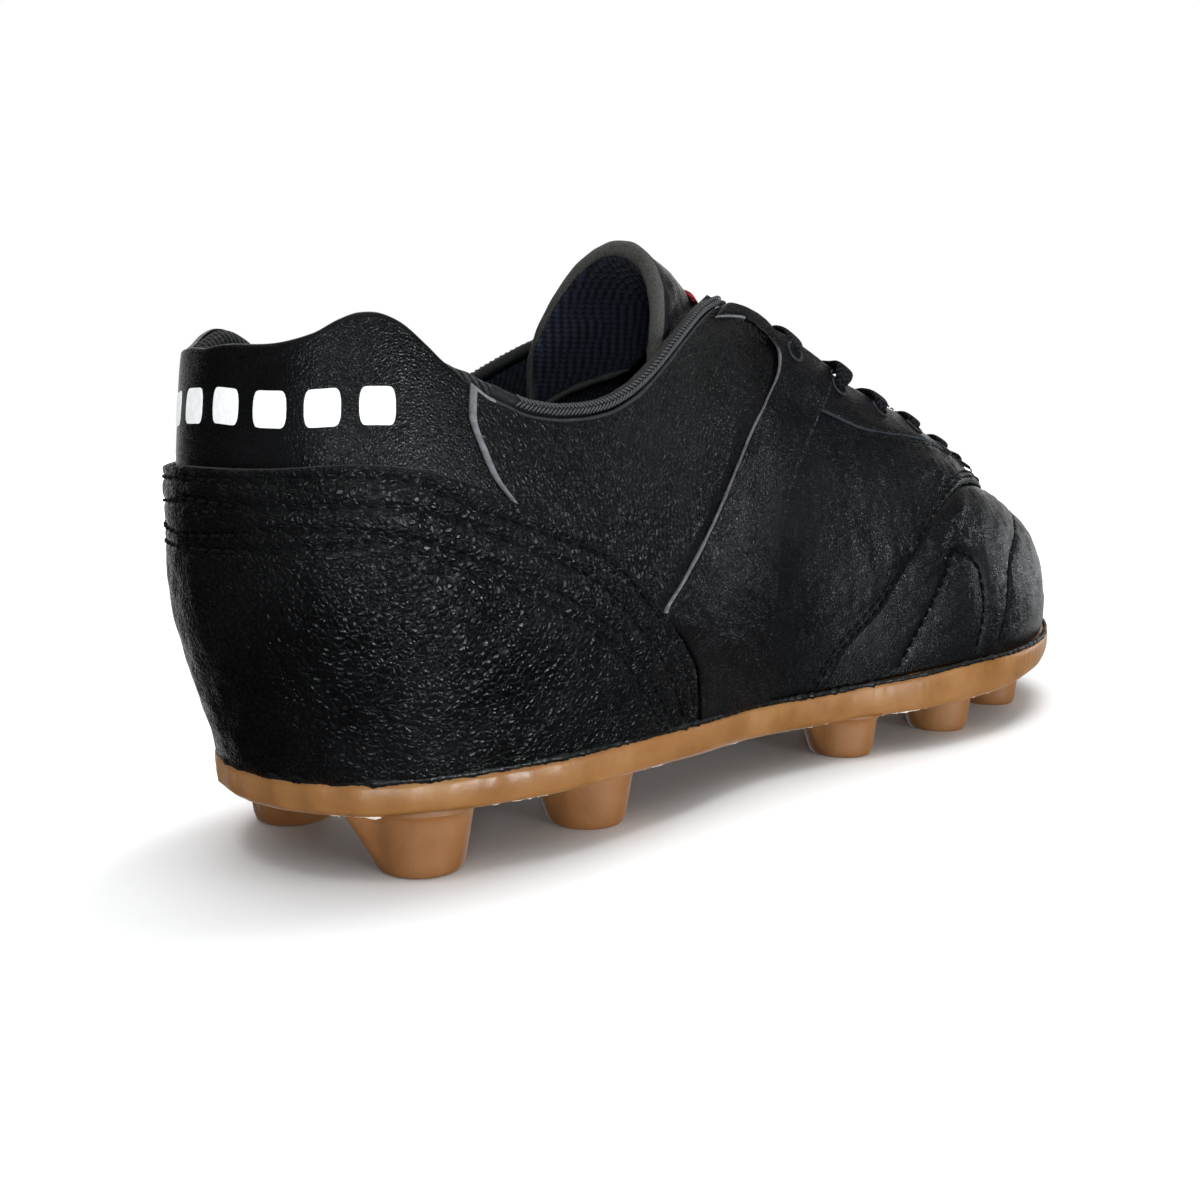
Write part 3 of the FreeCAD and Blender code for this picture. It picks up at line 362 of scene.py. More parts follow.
def panel(name, region, h_out, h_in, n, m, mats, la, lb, edge_mm=.9, cut=(1, 1, 1, 1), disp=None, body="root", replaces=(),
          cut_slot=1, in_slot=None, round_a=True, round_b=True, groove=True, cut_rows=1):
    a = samples(n, la, edge_mm, round_a); b = samples(m, lb, edge_mm, round_b)
    UV = region(a, b); U, Vv = UV[..., 0], np.clip(UV[..., 1], 0, 1)
    ho = h_out(U, Vv) if callable(h_out) else np.full(U.shape, float(h_out))
    hi = h_in(U, Vv) if callable(h_in) else np.full(U.shape, float(h_in))
    p = np.minimum(prof(a, la, edge_mm)[:, None] if round_a else 1.0, prof(b, lb, edge_mm)[None, :] if round_b else 1.0) * np.ones(U.shape)
    S = surf(U, Vv); N = normal(U, Vv)
    dh = np.zeros(U.shape)
    if disp is not None: dh = dh + disp(U, Vv, S)
    if groove:
        for L, w, d in GROOVES:
            dh = dh - d * near(S, L, w)
    PO = S + N * (hi + (ho - hi) * p + dh * p)[..., None]
    PI = S + N * hi[..., None]
    ob = grid_shell(name, PO, PI, mats, cut, cut_slot, cut_rows, in_slot)
    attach(ob, body)
    if replaces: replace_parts(ob, *replaces)
    return ob


# ============================================================ materials
def mat_new(name):
    m = bpy.data.materials.new(name); m.use_nodes = True
    nt = m.node_tree; b = nt.nodes["Principled BSDF"]
    return m, nt, b


def nd(nt, kind, **kw):
    n = nt.nodes.new(kind)
    for k, v in kw.items():
        if k in n.inputs: n.inputs[k].default_value = v
        else: setattr(n, k, v)
    return n


def coords(nt, scale=1.0):
    t = nt.nodes.new("ShaderNodeTexCoord"); mp = nt.nodes.new("ShaderNodeMapping")
    for i in range(3): mp.inputs["Scale"].default_value[i] = scale
    nt.links.new(t.outputs["Object"], mp.inputs["Vector"])
    return mp.outputs["Vector"]


def rampv(nt, fac, stops):
    r = nt.nodes.new("ShaderNodeValToRGB"); e = r.color_ramp.elements
    e[0].position, e[0].color = stops[0][0], (*stops[0][1], 1); e[1].position, e[1].color = stops[-1][0], (*stops[-1][1], 1)
    for p, c in stops[1:-1]:
        x = e.new(p); x.color = (*c, 1)
    nt.links.new(fac, r.inputs["Fac"]); return r.outputs["Color"]


def mapr(nt, v, a, b, c, d):
    m = nt.nodes.new("ShaderNodeMapRange")
    for k, x in zip(("From Min", "From Max", "To Min", "To Max"), (a, b, c, d)): m.inputs[k].default_value = x
    nt.links.new(v, m.inputs["Value"]); return m.outputs["Result"]


def mth(nt, op, a, b=None, c=None):
    m = nt.nodes.new("ShaderNodeMath"); m.operation = op
    for i, x in enumerate((a, b, c)):
        if x is None: continue
        if isinstance(x, (int, float)): m.inputs[i].default_value = x
        else: nt.links.new(x, m.inputs[i])
    return m.outputs[0]


def bump(nt, height, strength, dist, prev=None):
    b = nt.nodes.new("ShaderNodeBump"); b.inputs["Strength"].default_value = strength; b.inputs["Distance"].default_value = dist
    nt.links.new(height, b.inputs["Height"])
    if prev is not None: nt.links.new(prev, b.inputs["Normal"])
    return b.outputs["Normal"]


def leather(name, col, rough, cell, strength, crease=0.0, coat=.0, spec=.15, fine=.15, sheen=.0):
    """cell: size of the grain pebbles in metres; crease: strength of the longer creases"""
    m, nt, b = mat_new(name); v = coords(nt)
    warp = nd(nt, "ShaderNodeTexNoise", **{"Scale": .4 / cell, "Detail": 3.0}); nt.links.new(v, warp.inputs["Vector"])
    mx = nt.nodes.new("ShaderNodeVectorMath"); mx.operation = "MULTIPLY_ADD"
    nt.links.new(warp.outputs["Color"], mx.inputs[0]); mx.inputs[1].default_value = (cell * 1.5,) * 3; nt.links.new(v, mx.inputs[2])
    vo = nd(nt, "ShaderNodeTexVoronoi", **{"Scale": 1 / cell, "Randomness": 1.0}); vo.feature = "DISTANCE_TO_EDGE"; nt.links.new(mx.outputs[0], vo.inputs["Vector"])
    peb = mapr(nt, vo.outputs["Distance"], 0.0, .30, 0.0, 1.0)
    vo2 = nd(nt, "ShaderNodeTexVoronoi", **{"Scale": .45 / cell}); vo2.feature = "SMOOTH_F1"; nt.links.new(mx.outputs[0], vo2.inputs["Vector"])
    n2 = nd(nt, "ShaderNodeTexNoise", **{"Scale": 4 / cell, "Detail": 4.0, "Roughness": .65}); nt.links.new(v, n2.inputs["Vector"])
    n3 = nd(nt, "ShaderNodeTexNoise", **{"Scale": 32.0, "Detail": 4.0, "Roughness": .6}); nt.links.new(v, n3.inputs["Vector"])
    h = mth(nt, "SUBTRACT", peb, mth(nt, "MULTIPLY", vo2.outputs["Distance"], .35))
    nrm = bump(nt, h, strength, cell * .12)
    nrm = bump(nt, n2.outputs["Fac"], fine * .5, cell * .05, nrm)
    if crease > 0:
        mp2 = nt.nodes.new("ShaderNodeMapping"); mp2.inputs["Scale"].default_value = (.55, .55, 2.0); mp2.inputs["Rotation"].default_value = (.12, -.18, 0)
        nt.links.new(mx.outputs[0], mp2.inputs["Vector"])
        w = nd(nt, "ShaderNodeTexVoronoi", **{"Scale": .34 / cell}); w.feature = "DISTANCE_TO_EDGE"; nt.links.new(mp2.outputs["Vector"], w.inputs["Vector"])
        msk = nd(nt, "ShaderNodeTexNoise", **{"Scale": 60.0, "Detail": 2.0}); nt.links.new(v, msk.inputs["Vector"])
        cr = mth(nt, "MULTIPLY", mth(nt, "SUBTRACT", 1.0, mapr(nt, w.outputs["Distance"], 0.0, .10, 0.0, 1.0)), mapr(nt, msk.outputs["Fac"], .38, .62, 0.0, 1.0))
        nrm = bump(nt, mth(nt, "MULTIPLY", cr, -1.0), crease * .7, cell * .16, nrm)
    nt.links.new(nrm, b.inputs["Normal"])
    dark = tuple(c * .5 for c in col); lite = tuple(min(1, c * 1.6 + .002) for c in col)
    c1 = rampv(nt, n3.outputs["Fac"], [(.3, dark), (.72, lite)])
    # colour drops to about a third in the grooves between the grain's pebbles: painted shade in the grooves, on top of
    # the random tone
    mixc = nt.nodes.new("ShaderNodeMixRGB"); mixc.blend_type = "MULTIPLY"; mixc.inputs["Fac"].default_value = .75
    nt.links.new(c1, mixc.inputs["Color1"]); nt.links.new(rampv(nt, peb, [(0.0, (.15, .15, .16)), (.40, (1, 1, 1))]), mixc.inputs["Color2"])
    nt.links.new(mixc.outputs["Color"], b.inputs["Base Color"])
    r = mth(nt, "ADD", mapr(nt, n3.outputs["Fac"], .3, .7, rough - .04, rough + .07), mapr(nt, peb, 0, .5, .18, 0.0))
    nt.links.new(r, b.inputs["Roughness"])
    b.inputs["Specular IOR Level"].default_value = spec
    b.inputs["Coat Weight"].default_value = coat; b.inputs["Coat Roughness"].default_value = .28
    b.inputs["Sheen Weight"].default_value = sheen; b.inputs["Sheen Roughness"].default_value = .45
    return m


def cloth_rib(name, col_a, col_b, pitch=.0016, rough=.9, rot=0.0):
    """ribbed knit: long ribs of small loops"""
    m, nt, b = mat_new(name); v = coords(nt)
    rt = nt.nodes.new("ShaderNodeMapping"); rt.inputs["Rotation"].default_value = (0, rot, 0); nt.links.new(v, rt.inputs["Vector"])
    sp = nt.nodes.new("ShaderNodeSeparateXYZ"); nt.links.new(rt.outputs["Vector"], sp.inputs[0])
    n = nd(nt, "ShaderNodeTexNoise", **{"Scale": 260.0, "Detail": 2.0}); nt.links.new(v, n.inputs["Vector"])
    jit = mapr(nt, n.outputs["Fac"], 0, 1, -.35, .35)
    a = mth(nt, "SINE", mth(nt, "ADD", mth(nt, "MULTIPLY", sp.outputs["X"], 6.2832 / pitch), jit))
    c = mth(nt, "SINE", mth(nt, "ADD", mth(nt, "MULTIPLY", sp.outputs["Z"], 6.2832 / (pitch * .8)), mth(nt, "MULTIPLY", a, .8)))
    d = mth(nt, "SINE", mth(nt, "MULTIPLY", sp.outputs["Y"], 6.2832 / pitch))
    h = mth(nt, "ADD", mth(nt, "MULTIPLY", a, .6), mth(nt, "ADD", mth(nt, "MULTIPLY", c, .25), mth(nt, "MULTIPLY", d, .3)))
    nrm = bump(nt, h, .8, pitch * .35); nrm = bump(nt, n.outputs["Fac"], .5, .0004, nrm)
    nt.links.new(nrm, b.inputs["Normal"])
    # the colour follows the rib height, dark in the troughs and light on the crests: painted shade in the troughs
    nt.links.new(rampv(nt, mapr(nt, h, -.9, .9, 0, 1), [(.15, col_a), (.9, col_b)]), b.inputs["Base Color"])
    b.inputs["Roughness"].default_value = rough; b.inputs["Sheen Weight"].default_value = .06; b.inputs["Sheen Roughness"].default_value = .5
    b.inputs["Specular IOR Level"].default_value = .2
    return m


def rubber(name, lo, mid, hi, rough, sss, speck=.2):
    m, nt, b = mat_new(name); v = coords(nt)
    n = nd(nt, "ShaderNodeTexNoise", **{"Scale": 55.0, "Detail": 4.0, "Roughness": .6}); nt.links.new(v, n.inputs["Vector"])
    f = nd(nt, "ShaderNodeTexNoise", **{"Scale": 900.0, "Detail": 3.0}); nt.links.new(v, f.inputs["Vector"])
    w = nd(nt, "ShaderNodeTexNoise", **{"Scale": 14.0, "Detail": 2.0}); nt.links.new(v, w.inputs["Vector"])
    nt.links.new(rampv(nt, n.outputs["Fac"], [(.3, lo), (.5, mid), (.72, hi)]), b.inputs["Base Color"])
    nrm = bump(nt, f.outputs["Fac"], speck, .0003); nrm = bump(nt, w.outputs["Fac"], .25, .002, nrm)
    nt.links.new(nrm, b.inputs["Normal"])
    nt.links.new(mapr(nt, n.outputs["Fac"], .3, .7, rough - .06, rough + .1), b.inputs["Roughness"])
    if sss > 0:
        b.inputs["Subsurface Weight"].default_value = sss; b.inputs["Subsurface Radius"].default_value = (1.0, .55, .25); b.inputs["Subsurface Scale"].default_value = .004
    return m


def plain(name, lo, hi, rough, scale=300.0, bstr=.3, bdist=.0003, sheen=0.0, spec=.5, coat=0.0):
    m, nt, b = mat_new(name); v = coords(nt)
    n = nd(nt, "ShaderNodeTexNoise", **{"Scale": scale, "Detail": 4.0, "Roughness": .65}); nt.links.new(v, n.inputs["Vector"])
    nt.links.new(rampv(nt, n.outputs["Fac"], [(.3, lo), (.7, hi)]), b.inputs["Base Color"])
    nt.links.new(bump(nt, n.outputs["Fac"], bstr, bdist), b.inputs["Normal"])
    nt.links.new(mapr(nt, n.outputs["Fac"], .3, .7, rough - .05, rough + .08), b.inputs["Roughness"])
    b.inputs["Sheen Weight"].default_value = sheen; b.inputs["Specular IOR Level"].default_value = spec; b.inputs["Coat Weight"].default_value = coat
    return m


def thread_mat(name, col, rough=.45):
    m, nt, b = mat_new(name); v = coords(nt)
    w = nd(nt, "ShaderNodeTexWave", **{"Scale": 900.0, "Distortion": 1.5}); nt.links.new(v, w.inputs["Vector"])
    # the colour follows the twist bands and is half as bright in their grooves: painted shade in the grooves of the
    # twist
    nt.links.new(rampv(nt, w.outputs["Color"], [(.2, tuple(c * .5 for c in col)), (.8, col)]), b.inputs["Base Color"])
    nt.links.new(bump(nt, w.outputs["Color"], .5, .0001), b.inputs["Normal"])
    b.inputs["Roughness"].default_value = rough; b.inputs["Sheen Weight"].default_value = .02; b.inputs["Specular IOR Level"].default_value = .08
    return m


def lace_mat(name):
    """flat woven lace: herringbone along the UV length"""
    m, nt, b = mat_new(name)
    uv = nt.nodes.new("ShaderNodeUVMap"); sp = nt.nodes.new("ShaderNodeSeparateXYZ"); nt.links.new(uv.outputs["UV"], sp.inputs[0])
    y = mth(nt, "ABSOLUTE", mth(nt, "SUBTRACT", mth(nt, "MULTIPLY", mth(nt, "FRACT", mth(nt, "MULTIPLY", sp.outputs["Y"], 2.0)), 2.0), 1.0))
    ph = mth(nt, "ADD", mth(nt, "MULTIPLY", sp.outputs["X"], 6.2832 / .0013), mth(nt, "MULTIPLY", y, 5.0))
    s1 = mth(nt, "SINE", ph)
    s2 = mth(nt, "SINE", mth(nt, "MULTIPLY", sp.outputs["Y"], 6.2832 * 9))
    h = mth(nt, "ADD", mth(nt, "MULTIPLY", s1, .6), mth(nt, "MULTIPLY", s2, .3))
    nt.links.new(bump(nt, h, .6, .00016), b.inputs["Normal"])
    # the colour follows the weave height, darkest in its grooves: painted shade in the grooves of the weave
    nt.links.new(rampv(nt, mapr(nt, h, -.8, .8, 0, 1), [(.1, (.0012, .0012, .0015)), (.9, (.012, .012, .014))]), b.inputs["Base Color"])
    b.inputs["Roughness"].default_value = .8; b.inputs["Sheen Weight"].default_value = .03; b.inputs["Sheen Roughness"].default_value = .4; b.inputs["Specular IOR Level"].default_value = .04
    return m


GRAIN = leather("leather_pebble", (.0026, .0026, .0028), .26, .00105, .95, .3)
FOX = leather("leather_foxing", (.0020, .0020, .0023), .25, .00120, .9, .9)
SMOOTH = leather("leather_smooth", (.0024, .0024, .0027), .21, .00062, .5, .35)
VAMP = leather("leather_vamp", (.0028, .0028, .0032), .22, .00075, .6, .2)
CUT = plain("leather_cut_edge", (.075, .075, .08), (.17, .17, .18), .75, 900.0, .5, .0002, spec=.2)
CUTE = plain("facing_edge", (.012, .014, .02), (.03, .034, .045), .55, 900.0, .4, .0002, spec=.3)
CUTD = plain("leather_cut_edge_dark", (.012, .012, .013), (.035, .035, .037), .7, 900.0, .5, .0002, spec=.2)
FLESH = plain("leather_flesh_side", (.02, .018, .016), (.05, .045, .04), .9, 700.0, .5, .0003, .2, spec=.2)
# knits: the first colour is the painted shade in the troughs of the ribs, the second that of the crests
LINING = cloth_rib("lining_rib", (.0012, .0016, .0035), (.011, .014, .028), .0014)
SOCK = cloth_rib("sock_liner_cloth", (.002, .0025, .004), (.010, .012, .018), .0022)
ROLL = cloth_rib("collar_roll_knit", (.002, .002, .0022), (.022, .022, .023), .0011, .85, .5)
BIND = leather("tongue_binding", (.046, .046, .042), .62, .0006, .35, .0, .0, .2)
TOPL = leather("collar_binding", (.010, .010, .0105), .5, .0007, .35, .0, .0, .2)
THREAD = thread_mat("thread_black", (.0022, .0022, .0026), .6)
THREADG = thread_mat("thread_grey", (.075, .075, .08), .6)
LACE = lace_mat("lace_weave")
GUM = rubber("gum_plate", (.183, .074, .0175), (.250, .108, .030), (.315, .157, .055), .36, .22)
STUD = rubber("gum_stud", (.180, .068, .0175), (.230, .091, .0265), (.27, .117, .036), .48, .06, .35)
PAINT = plain("edge_paint", (.002, .002, .002), (.008, .008, .008), .35, 300.0, .7, .0006, spec=.3)
FLASH = plain("mould_flash", (.60, .50, .40), (.85, .78, .70), .5, 500.0, .3, .0002)
WHITE = plain("white_print", (.72, .72, .72), (.86, .86, .86), .55, 800.0, .25, .0001)
# red tab knit: the first colour is the painted shade in the troughs of the ribs, the second that of the crests
RED = cloth_rib("red_tab", (.10, .002, .003), (.30, .01, .014), .0007)
EYELET = plain("eyelet_edge", (.006, .006, .007), (.02, .02, .022), .4, 800.0, .3, .0001, spec=.3)

# ============================================================ camera and stage
def place_camera():
    cam = bpy.data.cameras.new("camera"); ob = bpy.data.objects.new("camera", cam)
    bpy.context.scene.collection.objects.link(ob)
    cam.sensor_width = 36.0; cam.lens = 37.5; cam.clip_start = .01; cam.clip_end = 20
    a, e, r = math.radians(-45.5), math.radians(7.3), math.radians(.41)
    fwd = -Vector((math.sin(a) * math.cos(e), -math.cos(a) * math.cos(e), math.sin(e)))
    right = fwd.cross(Vector((0, 0, 1))).normalized(); up = right.cross(fwd).normalized()
    r2 = right * math.cos(r) + up * math.sin(r); u2 = -right * math.sin(r) + up * math.cos(r)
    m = Matrix((r2, u2, -fwd)).transposed().to_4x4()
    m.translation = Vector(((-113.7 - OX) / 1000, (-200.2 - OY) / 1000, .0775))
    ob.matrix_world = m
    bpy.context.scene.camera = ob
    return ob, fwd, r2, u2


CAM, FWD, RIGHT, UP = place_camera()

# ============================================================ edges of the leathers
FOXTOP = [(0.0, .665), (0.6, .66), (1.3, .65), (2.39, .611), (2.98, .584)]
FOXFRONT = [(2.98, .584), (3.35, .56), (3.65, .535), (4.13, .432), (4.55, .257), (4.78, .126), (4.85, .004)]
SADREAR = [(5.55, .845), (6.07, .757), (6.23, .697), (6.13, .612), (5.90, .550), (5.53, .514), (5.12, .488),
           (4.80, .452), (4.56, .403), (4.37, .345), (4.60, .255), (4.83, .126), (4.90, .004)]
SADFRONT = [(6.95, .80), (6.81, .68), (6.56, .544), (6.36, .456), (6.17, .384), (5.96, .27), (5.85, .13), (5.8, .004)]
LOBE = [(6.45, .004), (6.75, .08), (7.13, .165), (7.32, .237), (7.6, .33), (7.91, .431), (8.6, .60), (9.6, .75),
        (10.8, .88), (12.0, .955)]
QLEFT = [(4.5, .004), (4.42, .13), (4.2, .27), (3.8, .40), (3.3, .50), (3.02, .587), (2.87, .627), (2.76, .682),
         (2.68, .738), (2.71, .80)]
QTOP = [(2.71, .80), (2.9, .785), (3.15, .787), (3.45, .812), (3.75, .85), (4.0, .873), (4.3, .885), (4.75, .889),
        (5.41, .876), (5.75, .865), (6.02, -12.6)]
QRIGHT = [(5.55, .004), (5.6, .13), (5.75, .27), (5.95, .40), (6.2, .52), (6.35, .62), (6.25, .75), (6.02, -12.6)]
QBOT = [(4.5, .004), (5.0, .004), (5.55, .004)]
WREAR = [(5.6, .004), (5.66, .13), (5.81, .27), (6.01, .40), (6.26, .52), (6.41, .62), (6.32, .75), (6.1, -12.0)]
WBOT = [(5.6, .004), (6.0, .004)] + LOBE
TU = [6.1, 6.5, 7.0, 7.6, 8.3, 9.0, 9.4, 9.62, 9.75]
SEAM = [(9.95, -.5), (10.8, -.5), (11.6, -.5), (12.0, .985)]
FLOW = [(6.0, -24.5), (6.3, -26.5), (6.74, -25.5), (7.1, -24.0), (7.6, -21.0), (8.3, -16.5), (9.0, -12.5), (9.6, -8.5),
        (9.95, -5.0)]
FU = [6.02, 6.5, 7.0, 7.6, 8.3, 9.0, 9.4, 9.62, 9.74]
GAP, LEA = .12, 1.05
L1 = LEA; L2 = LEA + GAP; H3 = L2 + L1 + GAP
SIDES = ((-1, "medial"), (1, "lateral"))


def throat_w(um): return pch([5.9, 6.5, 8.0, 9.2, 9.6, 9.75], [12.0, 11.5, 9.5, 7.0, 4.5, 1.2], um)
def th(us, more=0.0): return [(u, -(float(throat_w(u)) + more)) for u in us]


def mirror_band(a, b, f):
    """region given on the half 0..1, mirrored about the heel: a runs -1..1"""
    s = -1.0 + 2 * a; w = np.abs(s)
    u, v = f(w[:, None] * np.ones((1, len(b))), b[None, :] * np.ones((len(a), 1)))
    sg = np.where(s >= 0, 1, -1)[:, None]
    return np.stack([sg * u, v], -1)


def collar_region(a, b):
    lo = Curve([(0, .64), (0.6, .635), (1.3, .625), (2.4, .585), (3.15, .555)])
    hi = Curve(COLLAR[:10] + [(2.72, .80), (2.86, .788)])
    return mirror_band(a, b, lambda w, t: (lo(w)[..., 0] + (hi(w)[..., 0] - lo(w)[..., 0]) * t, lo(w)[..., 1] + (hi(w)[..., 1] - lo(w)[..., 1]) * t))


def fox_region(a, b):
    T = Curve(FOXTOP + FOXFRONT[1:3]); MF = Curve([FOXFRONT[6], FOXFRONT[5], FOXFRONT[4], FOXFRONT[3], FOXFRONT[2]])

    def f(w, t):
        top = T(w); u = 4.85 * w + (top[..., 0] - 4.85 * w) * t; v = .004 + (top[..., 1] - .004) * t
        mid = MF(t); k = w ** 3
        return (u + k * (mid[..., 0] - (4.85 + (FOXFRONT[2][0] - 4.85) * t)), v + k * (mid[..., 1] - (.004 + (FOXFRONT[2][1] - .004) * t)))
    return mirror_band(a, b, f)


def toe_region(a, b):
    LB = Curve([(14.0, .975), (13.0, .972), (12.0, .94), (10.8, .885), (9.6, .775), (8.6, .64), (7.75, .47), (7.4, .36),
                (7.1, .26), (6.88, .19), (6.5, .115), (6.3, .05)])
    s = -1.0 + 2 * a; w = np.abs(s)[:, None] * np.ones((1, len(b))); t = b[None, :] * np.ones((len(a), 1))
    lob = LB(w); u = (14.0 - w * 7.75) * (1 - t) + lob[..., 0] * t; v = .004 + (lob[..., 1] - .004) * t
    return np.stack([np.where(s[:, None] > 0, NU - u, u), v], -1)


def lin_region(a, b):
    def f(w, t):
        u = w * 4.0
        return u, .004 + (vcol(u) - .012 - .004) * t
    return mirror_band(a, b, f)


def pad_h(u, v):
    um = fold_u(u); vt = vcol(um)
    return 4.2 * sstep(v, .50, .64) * (1 - sstep(v - (vt - .10), 0, .095)) * (1 - sstep(um, 2.2, 3.3))


HS = -GAP - 1.2 - .28


def lining_out(u, v):
    p = pad_h(u, v)
    return HS - p - .15 * np.clip(p / .05, 0, 1)


def vl_out(u, v): return -1.66 - 1.2 * sstep(fold_u(u), 10.2, 11.3)


def vl_half(side):
    def f(a, b):
        um = 6.06 + 7.86 * a; u = um if side < 0 else NU - um
        w = pch([6.0, 6.6, 8.0, 9.2, 9.75, 14.0], [16.6, 13.0, 11.0, 8.6, 6.5, 9.5], um)
        top = dist_v(u, w)
        return np.stack([u[:, None] * np.ones((1, len(b))), .004 + (top - .004)[:, None] * b[None, :]], -1)
    return f


# ============================================================ seam lines, quilting
def uv_line(pts, n=260, side=-1, h=0.0):
    e = edge(side, pts); c = Curve(e)(np.linspace(0, 1, n))
    return off(c[:, 0], c[:, 1], h * np.ones(n))


def resample(P, step):
    s = np.concatenate([[0], np.cumsum(np.linalg.norm(np.diff(P, axis=0), axis=1))])
    n = max(int(round(s[-1] / step)), 1); t = (np.arange(n) + .5) / n * s[-1]
    return np.stack([np.interp(t, s, P[:, k]) for k in range(3)], 1), s, t


# quilted channels of the vamp: petals either side and a seam down the middle of the toe
ARCH_IN = [(7.34, .02), (7.67, .155), (7.90, .252), (8.08, .323), (8.26, .312), (8.39, .277), (8.44, .15), (8.30, .005)]
ARCH_OUT = [(12.0, .955), (11.2, .80), (10.4, .62), (9.6, .45), (9.05, .30), (8.93, .17), (8.72, .005)]
MIDSEAM = [(9.9, -.6), (10.4, -.6), (10.9, -.6), (11.4, -.6), (12.0, -.6), (12.6, -.6)]
TOE_ROW = [(12.0, .93), (11.3, .78), (10.8, .58), (10.6, .36), (10.7, .16), (10.8, .01)]
QUILT = []
for _s, _n in SIDES:
    for pts in (ARCH_IN, ARCH_OUT, LOBE):
        QUILT.append(uv_line(pts, 300, _s))
QUILT.append(uv_line(MIDSEAM, 120))
QALL = np.concatenate(QUILT)


def quilt(u, v, S):
    """puff of the padded vamp between its stitched channels, in millimetres"""
    um = fold_u(u)
    w = sstep(um, 6.4, 7.6) * (1 - .75 * sstep(um, 12.2, 13.4)) * sstep(v, .0, .06)
    sh = S.shape[:-1]; Q = S.reshape(-1, 3); d = np.full(len(Q), 1e3)
    L = QALL[::2]
    for k in range(0, len(Q), 2000):
        q = Q[k:k + 2000]
        d[k:k + 2000] = np.sqrt(((q[:, None] - L[None]) ** 2).sum(2).min(1))
    d = d.reshape(sh)
    puff = .75 * (1 - np.exp(-d / 4.2)) - .55 * np.exp(-(d / .75) ** 2)
    wr = .16 * noise3(S, 9.0, 3) + .10 * noise3(S, 4.0, 5)
    return w * (puff - .15) + wr * sstep(um, 5.6, 7.0) * sstep(v, .03, .15)


def wrinkle(u, v, S):
    return .13 * noise3(S, 14.0, 11) + .06 * noise3(S, 5.0, 12)


ROW1 = [(0, .640), (.6, .636), (1.3, .626), (2.11, .599), (2.67, .555), (3.08, .541), (3.76, .516), (4.18, .394), (4.55, .214), (4.80, .048)]
ROW2 = [(0, .60), (.7, .585), (1.6, .565), (2.53, .528), (2.94, .501), (3.62, .463), (4.08, .340), (4.47, .163), (4.68, .028)]
ROW3 = [(0, .524), (1.0, .534), (1.83, .508), (2.52, .463), (3.33, .417), (3.89, .322), (4.30, .147), (4.54, .013)]
ROW4 = [(0, .50), (1.69, .497), (2.52, .441), (3.20, .392), (3.80, .296), (4.20, .140), (4.41, .019)]

# ============================================================ stitches
def stitches(name, lines, mat, pitch=3.2, length=2.35, r=.33, body="root", lift=.1, normals=None):
    """rows of thread, one short curved capsule a stitch; lines are (points, surface normals)"""
    V_, F_ = [], []; base = 0; K = 6
    for P, N in lines:
        s = np.concatenate([[0], np.cumsum(np.linalg.norm(np.diff(P, axis=0), axis=1))])
        n = max(int(s[-1] / pitch), 1)
        for i in range(n):
            c = (i + .5) / n * s[-1]
            tt = c + np.array([-.5, -.36, -.14, .14, .36, .5]) * length
            tt = np.clip(tt, 0, s[-1])
            q = np.stack([np.interp(tt, s, P[:, k]) for k in range(3)], 1)
            nn = unit(np.stack([np.interp(tt, s, N[:, k]) for k in range(3)], 1))
            h = np.array([-.30, .02, .16, .16, .02, -.30]) * (r / .33) + lift
            rad = r * np.array([.45, .85, 1, 1, .85, .45])
            q = q + nn * h[:, None]
            tg = unit(np.gradient(q, axis=0)); bn = unit(np.cross(tg, nn)); n2 = np.cross(bn, tg)
            for j in range(6):
                a = np.arange(K) * 2 * math.pi / K
                V_.append(q[j] + rad[j] * (np.cos(a)[:, None] * bn[j] + np.sin(a)[:, None] * n2[j]))
            for j in range(5):
                for k in range(K):
                    F_.append((base + j * K + k, base + j * K + (k + 1) % K, base + (j + 1) * K + (k + 1) % K, base + (j + 1) * K + k))
            F_.append(tuple(base + k for k in range(K))[::-1]); F_.append(tuple(base + 5 * K + k for k in range(K)))
            base += 6 * K
    ob = make(name, M(np.concatenate(V_)), F_, [mat])
    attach(ob, body)
    return ob


def row_on(pts, side, h, n=400):
    e = edge(side, pts); c = Curve(e)(np.linspace(0, 1, n)); hh = h * np.ones(n)
    return off(c[:, 0], c[:, 1], hh), normal(c[:, 0], c[:, 1])


def shifted(pts, side, d, h, n=400):
    """line parallel to an edge on the leather at distance d to its left"""
    e = edge(side, pts); c = Curve(e)(np.linspace(0, 1, n)); P = surf(c[:, 0], c[:, 1]); N = normal(c[:, 0], c[:, 1])
    T = unit(np.gradient(P, axis=0)); B = unit(np.cross(N, T))
    return P + B * d + N * h, N


